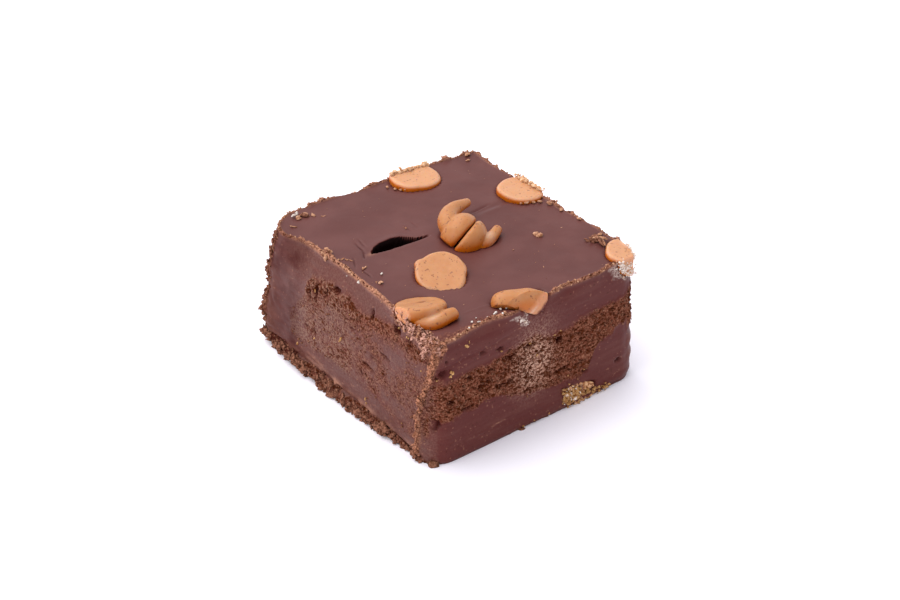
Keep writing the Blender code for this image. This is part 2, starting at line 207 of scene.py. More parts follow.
def get_points(thing):
    """The points of an object's mesh, in millimetres, and their normals."""
    mesh = thing.data
    points = np.zeros(len(mesh.vertices) * 3, np.float32)
    normals = np.zeros(len(mesh.vertices) * 3, np.float32)
    mesh.vertices.foreach_get("co", points)
    mesh.vertices.foreach_get("normal", normals)
    return points.reshape(-1, 3).astype(float) / MM, normals.reshape(-1, 3).astype(float)


def set_points(thing, points):
    """Move the points of an object's mesh, given in millimetres."""
    thing.data.vertices.foreach_set("co", (points * MM).astype(np.float32).ravel())
    thing.data.update()


def tube_faces(rings, around, closed_ends=True):
    """Quads of a tube of rings, with a fan of triangles to one point at each end.

    The points are the first end, then ring after ring, then the last end.
    """
    ring, step = np.meshgrid(np.arange(rings - 1), np.arange(around), indexing="ij")
    after = (step + 1) % around
    quads = np.stack([1 + ring * around + step, 1 + ring * around + after,
                      1 + (ring + 1) * around + after, 1 + (ring + 1) * around + step], -1)
    faces = quads.reshape(-1, 4).tolist()
    if closed_ends:
        step = np.arange(around)
        after = (step + 1) % around
        last = 1 + (rings - 1) * around
        faces += np.stack([np.zeros_like(step), 1 + after, 1 + step], -1).tolist()
        end = np.full_like(step, last + around)
        faces += np.stack([end, last + step, last + after], -1).tolist()
    return faces


def outward_mesh(thing):
    """Turn every face of a closed mesh outwards."""
    mesh = bmesh.new()
    mesh.from_mesh(thing.data)
    bmesh.ops.recalc_face_normals(mesh, faces=mesh.faces)
    mesh.to_mesh(thing.data)
    mesh.free()
    thing.data.update()


# The fudge block ------------------------------------------------------------------
def crowd(value):
    """Spread shares from -1 to 1 a little closer together near the ends."""
    return value + CROWD * np.sin(np.pi * value) / np.pi


def crowd_at(value, middle, width, share):
    """Draw shares from -1 to 1 closer together round a middle, by a share of their spacing."""
    low, high, value = (v - share * width * np.tanh((v - middle) / width)
                        for v in (-1.0, 1.0, value))
    return 2.0 * (value - low) / (high - low) - 1.0


def even_to_round(x, y, radii):
    """Pull points of the even square into its corners' arcs.

    Near a corner the reach past the arc's centre, the larger of the two ways, becomes the
    distance from that centre. Gives the places, the distance in from the side, and the way out.
    """
    sign = np.stack([np.where(x >= 0, 1.0, -1.0), np.where(y >= 0, 1.0, -1.0)], -1)
    corner = np.where(sign[..., 1] < 0, (sign[..., 0] > 0) * 1, 3 - (sign[..., 0] > 0) * 1)
    radius = radii[corner] if radii.ndim == 1 else np.take_along_axis(radii, corner[..., None], -1)[..., 0]
    centre = sign * (HALF - radius[..., None])
    offset = np.stack([x, y], -1) - centre
    reach = offset * sign
    length = np.maximum(np.linalg.norm(offset, axis=-1), 1e-9)[..., None]
    distance = reach.max(-1)[..., None]
    in_corner = (reach.min(-1) > 0)[..., None]
    inset = HALF - np.abs(np.stack([x, y], -1))
    along_x = (inset[..., 0] < inset[..., 1])[..., None]
    flat_way = np.where(along_x, sign * (1, 0), sign * (0, 1))
    way = np.where(in_corner, offset / length, flat_way)
    place = np.where(in_corner, centre + way * distance, np.stack([x, y], -1))
    depth = np.where(in_corner[..., 0], radius - distance[..., 0], inset.min(-1))
    return place, depth, way


def round_edge(inset, drop, radius):
    """Pull points near an edge into the edge's arc, from their depths under its two faces."""
    across = radius - inset
    along = radius - drop
    near = (across > 0) & (along > 0)
    scale = np.maximum(across, along) / np.maximum(np.hypot(across, along), 1e-9)
    return (np.where(near, radius - across * scale, inset),
            np.where(near, radius - along * scale, drop))


def pull_uneven(place, height_share):
    """Carry points of the even square to the uneven one by its four corners."""
    share = 0.5 + 0.5 * place / HALF
    total = 0.0
    for index, sign in enumerate(CORNERS):
        weight = np.prod(np.where(np.array(sign) > 0, share, 1.0 - share), axis=-1)
        corner = blend(FOOT_CORNERS[index], TOP_CORNERS[index], height_share[..., None])
        total = total + weight[..., None] * corner
    return total


# How far the top edge of each side lies in from its plane: (place along, depth).
LEFT_LEAN = ((-24.0, 0.0), (-20.0, 0.3), (-15.0, 0.9), (-11.0, 1.3), (-8.0, 1.6), (0.0, 1.75),
             (4.0, 1.9), (8.0, 1.7), (12.0, 1.75), (15.0, 1.4), (18.5, 0.5), (21.5, 0.0))
FRONT_LEAN = ((-22.0, 0.2), (-17.0, 0.4), (-14.0, 0.9), (-11.0, 1.2), (-9.0, 0.9), (-7.0, 0.1),
              (-3.0, -0.1), (0.5, 0.1), (3.0, 0.5), (6.0, 0.9), (9.0, 0.3), (13.0, 0.0),
              (15.5, 0.5), (18.0, 0.2), (22.0, 0.0))
BACK_LEAN = ((-20.0, 0.0), (-7.0, 0.1), (-4.0, 0.5), (0.0, 0.5), (2.5, 0.1), (4.5, 0.4),
             (7.0, 0.0), (17.0, 0.1), (20.0, 0.4), (23.0, 0.0))
RIGHT_LEAN = ((-23.0, 0.3), (-17.5, 0.0), (-13.5, -0.2), (-8.0, 0.1), (-4.0, 0.8), (0.0, 0.4),
              (2.0, 0.8), (7.5, 0.1), (10.5, 0.4), (15.5, 0.7), (20.0, 0.3))
# How high the knife's burr stands along each top edge: (place along, height).
LEFT_BURR = ((-24.6, 0.8), (-20.0, 0.9), (-16.0, 0.8), (-12.0, 0.8), (-9.0, 0.45), (-3.0, 0.3),
             (2.0, 0.35), (6.0, 0.4), (8.0, 1.0), (10.0, 0.4), (14.0, 0.35), (17.0, 0.5),
             (20.0, 0.3))
FRONT_BURR = ((-22.0, 0.7), (-20.0, 0.35), (-15.0, 0.5), (-13.4, 0.8), (-12.0, 0.4),
              (-9.0, 0.6), (-7.0, 0.4), (-5.0, 0.0), (1.5, 0.0), (3.2, 0.6), (5.0, 0.4),
              (8.0, 0.15), (14.0, 0.15), (16.0, 0.4), (20.0, 0.4))
BACK_BURR = ((-20.0, 0.3), (-16.0, 0.6), (-14.0, 0.5), (-9.0, 0.35), (-6.0, 0.1), (-2.0, 0.1),
             (1.0, 0.45), (3.0, 0.3), (13.0, 0.2), (16.5, 0.5), (20.0, 0.3), (22.0, 0.5))
RIGHT_BURR = ((-24.0, 0.4), (-17.0, 0.5), (-15.0, 0.3), (-9.0, 0.1), (-4.0, 0.4), (-1.0, 0.5),
              (1.0, 0.2), (8.0, 0.1), (14.0, 0.2), (20.0, 0.3))

# The crumbly field of the left side and its foot, and of the front side.
LEFT_FIELD_TOP = ((-25.0, 22.6), (-20.0, 22.2), (-14.0, 21.8), (-10.0, 21.2), (-5.0, 21.2),
                  (0.0, 21.0), (5.0, 20.8), (9.0, 20.4), (26.0, 20.0))
LEFT_FIELD_BOTTOM = ((-25.0, 2.6), (-19.0, 3.2), (-12.0, 4.4), (-8.0, 6.0), (-3.0, 6.4),
                     (4.0, 6.2), (12.0, 5.6), (16.0, 5.2))
LEFT_FIELD_END = ((0.0, 15.0), (5.0, 15.6), (9.0, 16.0), (13.0, 14.4), (16.0, 12.0),
                  (18.0, 10.6), (21.0, 10.2), (25.0, 9.0))
LEFT_FOOT_TOP = ((-24.0, 0.3), (-20.0, 1.1), (-12.0, 1.7), (-5.0, 2.1), (5.0, 2.4),
                 (15.0, 2.5), (24.0, 2.9))
FRONT_FIELD_TOP = ((-23.0, 17.0), (-17.0, 16.5), (-10.0, 16.8), (-5.0, 17.4), (-1.0, 18.0),
                   (2.0, 16.6), (6.0, 16.6), (10.0, 17.0), (16.0, 17.4), (23.0, 17.6))
FRONT_FIELD_BOTTOM = ((-23.0, 6.6), (-19.0, 8.8), (-16.0, 9.2), (-10.0, 9.6), (-7.0, 8.8),
                      (-3.0, 7.0), (0.0, 6.4), (4.0, 5.8), (9.0, 5.0), (11.0, 6.6),
                      (13.0, 10.6), (17.0, 11.6), (22.0, 12.0))
CORNER_RIDGE = ((0.0, -20.0), (5.0, -20.6), (10.0, -20.8), (14.0, -21.8), (17.0, -22.8),
                (20.0, -23.6), (24.0, -24.2))
# Pits: (place along, height, half length, half height, depth, slope).
LEFT_PITS = ((8.4, 17.4, 0.45, 1.7, 1.0, 0.0), (10.2, 16.9, 0.35, 1.1, 0.8, 0.0),
             (3.3, 20.7, 0.8, 0.5, 0.8, 0.0), (9.2, 9.7, 0.7, 0.35, 0.8, 0.0),
             (-11.2, 15.6, 1.1, 0.45, 0.8, 0.1), (-6.6, 11.1, 1.5, 0.35, 0.8, 0.1),
             (-4.7, 9.0, 0.4, 0.8, 0.6, 0.0), (-13.8, 21.8, 1.1, 0.7, 0.9, 0.0),
             (-17.6, 21.6, 0.5, 0.8, 0.9, 0.0), (-6.8, 21.0, 0.5, 0.8, 0.8, 0.0),
             (11.4, 9.8, 0.5, 0.3, 0.5, 0.0), (-8.2, 13.6, 0.8, 0.25, 0.5, 0.0),
             (-2.2, 16.3, 0.6, 0.3, 0.5, 0.0), (-13.6, 9.2, 0.9, 0.3, 0.5, 0.2),
             (-15.8, 4.8, 0.6, 0.4, 0.4, 0.0), (5.6, 19.0, 0.5, 0.7, 0.6, 0.0))
FRONT_PITS = ((4.3, 14.8, 0.7, 0.6, 1.1, 0.0), (-2.4, 16.3, 1.1, 0.35, 0.9, 0.1),
              (-8.7, 18.4, 0.9, 0.3, 0.7, -0.1), (-12.2, 19.1, 0.8, 0.25, 0.5, 0.0),
              (-19.7, 20.7, 0.3, 0.3, 0.8, 0.0), (-7.3, 11.1, 1.7, 0.28, 0.9, 0.05),
              (-15.0, 15.4, 0.6, 0.5, 0.8, 0.0), (-18.8, 12.2, 0.7, 0.4, 0.8, 0.0),
              (-11.8, 12.9, 1.5, 0.3, 0.6, 0.1), (5.0, 8.5, 1.6, 0.3, 0.7, 0.1),
              (9.4, 8.2, 1.2, 0.25, 0.7, 0.0), (10.0, 6.1, 0.7, 0.35, 0.6, 0.1),
              (17.8, 5.0, 0.6, 0.35, 0.8, 0.1), (-2.0, 7.6, 1.6, 0.25, 0.6, -0.1),
              (12.2, 14.2, 0.7, 0.3, 0.6, 0.0), (-21.4, 7.9, 0.9, 1.3, 0.9, 0.0),
              (-20.6, 18.4, 1.1, 0.6, 0.7, 0.2), (-6.6, 15.8, 1.4, 0.3, 0.7, 0.0),
              (-10.4, 14.9, 0.9, 0.3, 0.7, 0.0), (-15.2, 9.6, 1.4, 0.25, 0.5, 0.0))
# Thin slits in the top: (x, y, half length, turn in degrees, depth).
TOP_SLITS = ((-13.4, 7.0, 1.9, 82, 0.30), (-12.3, 8.1, 1.4, 78, 0.22), (-14.3, 4.8, 1.2, 60, 0.3),
             (-17.4, -0.4, 1.2, 88, 0.25), (-3.3, 6.9, 1.0, 85, 0.15), (-1.6, 7.3, 1.2, 84, 0.12),
             (-17.1, 3.6, 1.6, 60, 0.2), (10.6, 4.4, 2.2, 5, 0.2))


def field_marks(points, pits, ragged):
    """Depth of the pits at each place (along, height): a steep bowl in each ragged oval."""
    depth = np.zeros(points.shape[:-1])
    along, height = points[..., 0], points[..., 1]
    for at, up, half_length, half_height, deep, slope in pits:
        run = along - at
        rise = height - up - slope * run
        oval = np.hypot(run / half_length, rise / half_height) + ragged
        depth = np.maximum(depth, deep * smooth_step(1.2, 0.75, oval))
    return depth


def left_layers(along, z, wobble, ragged):
    """Shares of the left side: crumbly field, grey smear that partly stands for painted sheen, foot, and
    depth of its pits.
    """
    edge = 1.2
    field = smooth_step(-edge, edge, stations(along, LEFT_FIELD_TOP) + 0.7 * wobble - z)
    field = field * smooth_step(-edge, edge, z - stations(along, LEFT_FIELD_BOTTOM) - 0.8 * wobble)
    field = field * smooth_step(-0.8, 0.8, stations(z, LEFT_FIELD_END) + 0.8 * wobble - along)
    calm = 0.75 * hump(np.hypot((along + 13.0) / 4.5, (z - 17.0) / 3.0))
    calm = np.maximum(calm, 0.6 * hump(np.hypot((along + 14.5) / 4.0, (z - 7.0) / 2.2)))
    calm = np.maximum(calm, 0.5 * hump(np.hypot((along - 13.5) / 3.0, (z - 9.0) / 4.0)))
    grey = field * smooth_step(-8.0, 2.0, along) * (0.7 + 0.3 * wobble)
    # A low grey share over most of the side is painted sheen of its lit face, not smear.
    grey = np.maximum(grey, 0.25 * smooth_step(17.0, 11.0, along) * smooth_step(4.0, 8.0, z)
                      * smooth_step(21.0, 14.0, z))
    grey = np.maximum(grey, 0.16 * smooth_step(19.0, 15.0, along))
    foot = smooth_step(0.15, -0.35, z - stations(along, LEFT_FOOT_TOP) - 0.35 * wobble)
    pits = field_marks(np.stack([along, z], -1), LEFT_PITS, ragged)
    top_row = hump((z - stations(along, LEFT_FIELD_TOP) + 0.9) / 1.1)
    corner = 0.3 * hump(np.hypot((along - 7.5) / 3.2, (z - 18.0) / 2.6))
    amount = np.clip(0.45 + 0.55 * top_row + corner + 0.35 * wobble, 0.2, 1.0)
    return field * (1.0 - calm) * amount, grey, foot, pits


def front_layers(along, z, wobble, ragged):
    """Shares of the front side: crumbly field, grey smear, foot, and depth of its pits."""
    edge = 0.9
    field = smooth_step(-edge, edge, stations(along, FRONT_FIELD_TOP) + 0.7 * wobble - z)
    field = field * smooth_step(-edge, edge, z - stations(along, FRONT_FIELD_BOTTOM) - wobble)
    calm = 0.2 * hump(np.hypot((along + 21.0) / 2.0, (z - 12.0) / 2.0))
    patch = hump(np.hypot((along + 1.4) / 3.9, (z - 12.8) / 5.0) ** 1.2)
    haze = 0.22 * hump(np.hypot((along + 0.5) / 4.0, (z - 18.6) / 3.0))
    grey = np.maximum(np.maximum(1.15 * patch, haze), 0.015 * smooth_step(9.0, 5.0, z))
    foot = smooth_step(0.5, 0.2, z) * hump((along + 1.0) / 4.0) * 0.8
    pits = field_marks(np.stack([along, z], -1), FRONT_PITS, ragged)
    return field * (1.0 - calm), grey, foot, pits


def block_points():
    """The grid of the block as plain arrays: even places, height shares and rings.

    The top is a square grid; from its border ring the sides go down in rows to the foot.
    """
    line = crowd(np.linspace(-1.0, 1.0, TOP_CELLS + 1))
    line_y = crowd(crowd_at(np.linspace(-1.0, 1.0, TOP_CELLS + 1), 0.14, 0.08, 0.5))
    x, y = np.meshgrid(line * HALF[0], line_y * HALF[1], indexing="ij")
    number = np.arange(x.size).reshape(x.shape)
    ring = np.concatenate([number[:-1, 0], number[-1, :-1], number[:0:-1, -1], number[0, :0:-1]])
    share = np.linspace(0.0, 1.0, SIDE_ROWS + 1)[1:]
    share = 0.5 + 0.5 * (2 * share - 1 + 0.25 * np.sin(np.pi * (2 * share - 1)) / np.pi)
    side_x = np.broadcast_to(x.ravel()[ring], (SIDE_ROWS, len(ring)))
    side_y = np.broadcast_to(y.ravel()[ring], (SIDE_ROWS, len(ring)))
    height = np.broadcast_to(1.0 - share[:, None], side_x.shape)
    all_x = np.concatenate([x.ravel(), side_x.ravel()])
    all_y = np.concatenate([y.ravel(), side_y.ravel()])
    all_height = np.concatenate([np.ones(x.size), height.ravel()])
    rings = np.concatenate([ring[None], x.size + np.arange(side_x.size).reshape(side_x.shape)])
    return all_x, all_y, all_height, number, rings


def block_faces(number, rings):
    """Quads of the top grid and of the rows of the sides, and one face underneath."""
    top = np.stack([number[:-1, :-1], number[1:, :-1], number[1:, 1:], number[:-1, 1:]], -1)
    after = np.roll(rings, -1, axis=1)
    side = np.stack([rings[:-1], rings[1:], after[1:], after[:-1]], -1)
    return (top.reshape(-1, 4).tolist() + side.reshape(-1, 4).tolist()
            + [rings[-1][::-1].tolist()])


def edge_amount(x, y, way, left, front, back, right):
    """Read the stations of the side that each point belongs to, blended round the corners."""
    weights = np.stack([np.maximum(-way[..., 0], 0), np.maximum(-way[..., 1], 0),
                        np.maximum(way[..., 1], 0), np.maximum(way[..., 0], 0)], -1) ** 2
    amounts = np.stack([stations(y, left), stations(x, front), stations(x, back),
                        stations(y, right)], -1)
    return (weights * amounts).sum(-1) / weights.sum(-1)


def lean_in(x, y, z):
    """Shift in plan that carries the top edges in from the planes of the sides."""
    reach = 7.0
    from_left = x - TOP_CORNERS[0][0]
    from_right = TOP_CORNERS[2][0] - x
    from_front = y - TOP_CORNERS[0][1]
    from_back = blend(24.6, 21.6, smooth_step(-22.0, 23.0, x)) - y
    high = smooth_step(17.5, 27.5, z) * 2.0
    shift_x = stations(y, LEFT_LEAN) * smooth_step(reach, 0.0, from_left)
    shift_x = shift_x - stations(y, RIGHT_LEAN) * smooth_step(4.0, 0.0, from_right)
    upper = smooth_step(20.5, 26.4, z) * 1.35
    shift_y = stations(x, FRONT_LEAN) * smooth_step(4.0, 0.0, from_front)
    shift_y = shift_y - stations(x, BACK_LEAN) * smooth_step(4.0, 0.0, from_back)
    return np.stack([shift_x * np.where(from_left < from_right, high, upper),
                     shift_y * upper], -1)


def crack_shape(x, y):
    """The crack in the top: its depth, the painted shade that blackens it, its raised lips and the painted
    glow along the far lip.
    """
    near_lip = stations(x, ((-13.4, 4.2), (-12.3, 4.0), (-10.0, 3.4), (-7.0, 3.0), (-3.6, 2.8),
                            (-2.0, 2.75), (0.0, 2.9)))
    far_lip = stations(x, ((-13.4, 4.2), (-12.6, 4.8), (-11.5, 5.4), (-10.0, 5.75), (-7.5, 5.7),
                           (-6.0, 5.2), (-5.0, 4.4), (-4.0, 3.6), (-2.6, 3.25), (0.0, 3.0)))
    width = np.maximum(far_lip - near_lip, 0.05)
    across = (y - near_lip) / width
    deep = np.minimum(width * 1.3, 2.6) * smooth_step(0.0, 0.25, (width - 0.1))
    opening = smooth_step(0.0, 0.45, across) * smooth_step(1.08, 0.88, across)
    lip = 0.12 * hump((y - far_lip - 0.7) / 0.9) * smooth_step(0.3, 1.6, width)
    fold = 0.06 * hump((y - near_lip + 0.5) / 0.6) * smooth_step(0.3, 1.6, width)
    ridge = hump(((x + 13.3) * 0.7 + (y - 4.0) * -0.7) / 0.35) * hump(((x + 13.3) + (y - 4.0)) / 2.2)
    lip = lip + 0.3 * ridge
    along = smooth_step(-13.4, -12.4, x) * smooth_step(-1.4, -2.4, x)
    # Painted glow along the crack's far lip and at its left end.
    lip_glow = 0.45 * hump((y - far_lip - 0.05) / 0.22) * smooth_step(0.3, 1.6, width) * along
    # Painted shade: the crack's whole opening is blackened.
    dark = smooth_step(0.06, 0.28, across) * smooth_step(1.30, 1.12, across)
    dark = dark * smooth_step(0.15, 0.7, width) * along
    lip_glow = np.maximum(lip_glow, 0.35 * hump(np.hypot((x + 13.0) / 0.9, (y - 4.3) / 0.5)))
    return deep * opening * along, dark, (lip + fold) * along, lip_glow


def top_height(x, y, inset, points):
    """How far the top stands over its plane: slow waves, folds, slits and wrinkles."""
    waves = 0.17 * ripple(points, 10.0, 3) + 0.06 * ripple(points, 4.0, 4)
    waves = waves + 0.03 * ripple(points * (1.0, 0.5, 1.0), 1.7, 5)
    waves = waves + 0.008 * ripple(points, 0.7, 6)
    folds = 0.10 * hump((y - 0.22 * x - 4.8) / 1.6) * smooth_step(-8.0, -2.0, x)
    folds = folds * smooth_step(4.0, 0.0, x)
    folds = folds - 0.16 * hump(np.hypot((x - 14.0) / 5.0, (y - 3.6) / 0.7))
    folds = folds + 0.08 * hump(np.hypot((x - 13.0) / 5.0, (y - 2.6) / 0.7))
    ridge = hump((y + 19.6 + 0.022 * (x + 12.0) ** 2 * np.sign(x + 12.0)) / 0.16)
    folds = folds + 0.07 * ridge * smooth_step(-12.6, -12.0, x) * smooth_step(-7.0, -7.8, x)
    slits = np.zeros_like(x)
    for at_x, at_y, half, turn, deep in TOP_SLITS:
        c, s = math.cos(math.radians(turn)), math.sin(math.radians(turn))
        run = (x - at_x) * c + (y - at_y) * s
        off = (y - at_y) * c - (x - at_x) * s
        slits = np.maximum(slits, deep * hump(off / 0.17) * hump((run / half) ** 2))
    wrinkles = 0.05 * ripple(points * (2.0, 0.5, 1.0), 1.6, 8)
    wrinkles = wrinkles * hump(np.hypot((x + 4.0) / 6.0, (y - 8.2) / 1.6))
    return waves + folds - slits + wrinkles, slits


# Where chips sit, for the dents that they lie in: middle and half sizes.
POCKETS = {
    "chip_disc": ((-8.1, -8.5, 23.4), (4.5, 4.4, 3.0)),
    "chip_rear_left": ((8.3, 19.8, 23.4), (4.4, 4.4, 3.0)),
    "chip_rear_right": ((20.2, 4.8, 23.4), (4.1, 4.1, 3.0)),
    "chip_corner": ((21.2, -22.2, 23.0), (3.7, 3.7, 3.0)),
    "chip_curl": ((2.2, -2.0, 23.6), (2.9, 2.9, 2.6)),
    "chip_front_left": ((-17.8, -16.2, 23.6), (3.9, 3.4, 3.4)),
    "chip_front_edge": ((-1.4, -23.0, 24.1), (4.3, 2.7, 1.7)),
    "chip_foot": ((9.6, -24.2, 2.2), (4.0, 2.0, 1.8)),
}


def chip_clearance(points, chips):
    """Distance in millimetres from each point to the nearest point of any chip, up to 1.5."""
    nearest = np.full(len(points), 1.5)
    for chip in chips:
        low, high = chip.min(0) - 1.5, chip.max(0) + 1.5
        around = np.flatnonzero(((points > low) & (points < high)).all(1))
        sample = chip[:: max(len(chip) // 2500, 1)]
        for start in range(0, len(around), 4000):
            part = around[start:start + 4000]
            gap = np.linalg.norm(points[part, None] - sample[None], axis=-1).min(1)
            nearest[part] = np.minimum(nearest[part], gap)
    return nearest


def make_block(chips):
    """The fudge: a square grid for the top carried down the sides, cut, smeared and crumbled.

    Each point of an even square is rounded at corners and edges and pulled to the uneven
    corners. Sides are then leaned, stepped and broken by grains, ripples and pits where the
    crumbly fields lie; the top gets its waves, burr, slits and crack.
    """
    even_x, even_y, share, number, rings = block_points()
    radii = blend(FOOT_RADII, TOP_RADII, (share ** 3)[:, None])
    place, inset, way = even_to_round(even_x, even_y, radii)
    front_right = np.linalg.norm(place - (HALF[0], -HALF[1]), axis=-1)
    foot_edge = blend(FOOT_EDGE_AT_FRONT_RIGHT, FOOT_EDGE, smooth_step(3.0, 14.0, front_right))
    side = inset < 1e-6
    side[rings[0]] = True
    new_inset, z = round_edge(inset, share * HEIGHT, foot_edge)
    new_inset, drop = round_edge(new_inset, HEIGHT - z, TOP_EDGE)
    z = HEIGHT - drop
    place = place + way * (inset - new_inset)[:, None]
    flat = pull_uneven(place, share)
    flat = flat + lean_in(flat[:, 0], flat[:, 1], z)
    x, y = flat[:, 0], flat[:, 1]
    points = np.stack([x, y, z], -1)

    sides = relieve_sides(points, way, side, z)
    top = relieve_top(points, way, inset, side)
    shift = sides["shift"] * way.T
    points = points + np.stack([shift[0], shift[1], sides["lift"] + top["lift"]], -1)
    points[:, :2] += way * top["out"][:, None]

    # Dents where the chips lie, and a fine groove round each.
    uneven = ripple(points, 1.1, 95)
    for middle, half in POCKETS.values():
        inside = 1.0 - np.linalg.norm((points - middle) / half, axis=-1) + 0.10 * uneven
        sunk = smooth_step(0.03, 0.25, inside)
        points[:, 2] -= np.where(side, 0.0, 1.2 * sunk)
        points[:, :2] -= way * (np.where(side, 0.9, 0.0) * sunk)[:, None]
    gap = chip_clearance(points, chips)
    groove = hump(gap / 0.42)
    points[:, 2] -= np.where(side, 0.0, 0.22 * groove)
    points[:, :2] -= way * (np.where(side, 0.15, 0.0) * groove)[:, None]
    points[:, 2] = np.maximum(points[:, 2], 0.0)
    points[rings[-1], 2] = 0.0

    shades = {
        "crumb": np.maximum(sides["crumb"], top["crumb"]),
        # The relief shade share paints shade in hollows and light on rims and peaks.
        "relief_shade": np.clip(sides["relief_shade"] + top["relief_shade"], 0.0, 1.0),
        "grey": sides["grey"],
        "wall": side * smooth_step(0.0, 1.5, HEIGHT - z),
        "front": sides["front"],
        "bloom": bloom_share(points) * side,
        "burr": np.maximum(sides["burr"], top["burr"]),
        # Deep is painted shade: the crack and slits, the pits, the rear of the left side, and a thin
        # contact line round each chip.
        "deep": np.clip(np.maximum(top["deep"], 0.55 * hump(gap / 0.30)) + sides["deep"], 0, 1),
    }
    block = put_mesh("fudge", points, block_faces(number, rings), shades)
    return block, points, way, side, sides, top


def torn(points, amount):
    """Depth and rim of the holes torn in a crumbly face.

    A hole opens where a stretched ripple passes a level, and the amount lowers the level.
    """
    depth, rim = np.zeros(len(points)), np.zeros(len(points))
    scales = ((1.3, (0.6, 0.6, 2.3), 0.45, 0.75), (0.8, (0.7, 0.7, 1.9), 0.4, 0.60),
              (0.5, (0.9, 0.9, 1.4), 0.35, 0.45))
    for index, (size, stretch, deep, lowest) in enumerate(scales):
        wave = ripple(points * stretch, size, 33 + index)
        level = blend(1.0, lowest, amount)
        depth = np.maximum(depth, deep * smooth_step(level, level + 0.2, wave))
        rim = np.maximum(rim, hump((wave - level + 0.1) / 0.08) * amount)
    near, _ = grains(points * (0.8, 0.8, 1.2), 1.0, 44)
    reach = 0.14 + 0.14 * amount + 0.20 * ripple(points, 1.6, 46) + 0.10 * ripple(points, 0.5, 47)
    reach = np.maximum(reach * smooth_step(0.1, 0.5, amount), 0.01)
    depth = np.maximum(depth, 0.7 * smooth_step(1.0, 0.6, near / reach))
    rim = np.maximum(rim, hump((near / reach - 1.25) / 0.2) * smooth_step(0.2, 0.6, amount))
    return depth, rim * (1.0 - smooth_step(0.0, 0.4, depth))


def bloom_share(points):
    """Where whitish film lies on the front: beside the cut chip, and under the corner chip."""
    x, z = points[:, 0], points[:, 2]
    ragged = 0.35 * ripple(points, 1.2, 90) + 0.35 * ripple(points, 0.5, 91)
    spots = ((-3.5, 21.6, 0.8, 0.6, 1.0), (-2.8, 20.9, 0.5, 0.4, 0.6), (-4.3, 22.4, 0.9, 0.3, 0.8),
             (-3.0, 22.6, 0.3, 0.9, 0.8), (17.2, 23.2, 1.3, 0.9, 0.7), (18.3, 22.4, 1.5, 1.1, 0.8),
             (19.6, 21.4, 1.3, 0.8, 0.7), (20.7, 20.6, 0.9, 0.6, 0.6), (-5.2, 22.9, 1.2, 0.2, 0.6))
    share = np.zeros(len(points))
    for at, up, half_length, half_height, most in spots:
        away = np.hypot((x - at) / half_length, (z - up) / half_height)
        share = np.maximum(share, most * smooth_step(1.4, 0.5, away + ragged))
    return share * (points[:, 1] < -20.0)


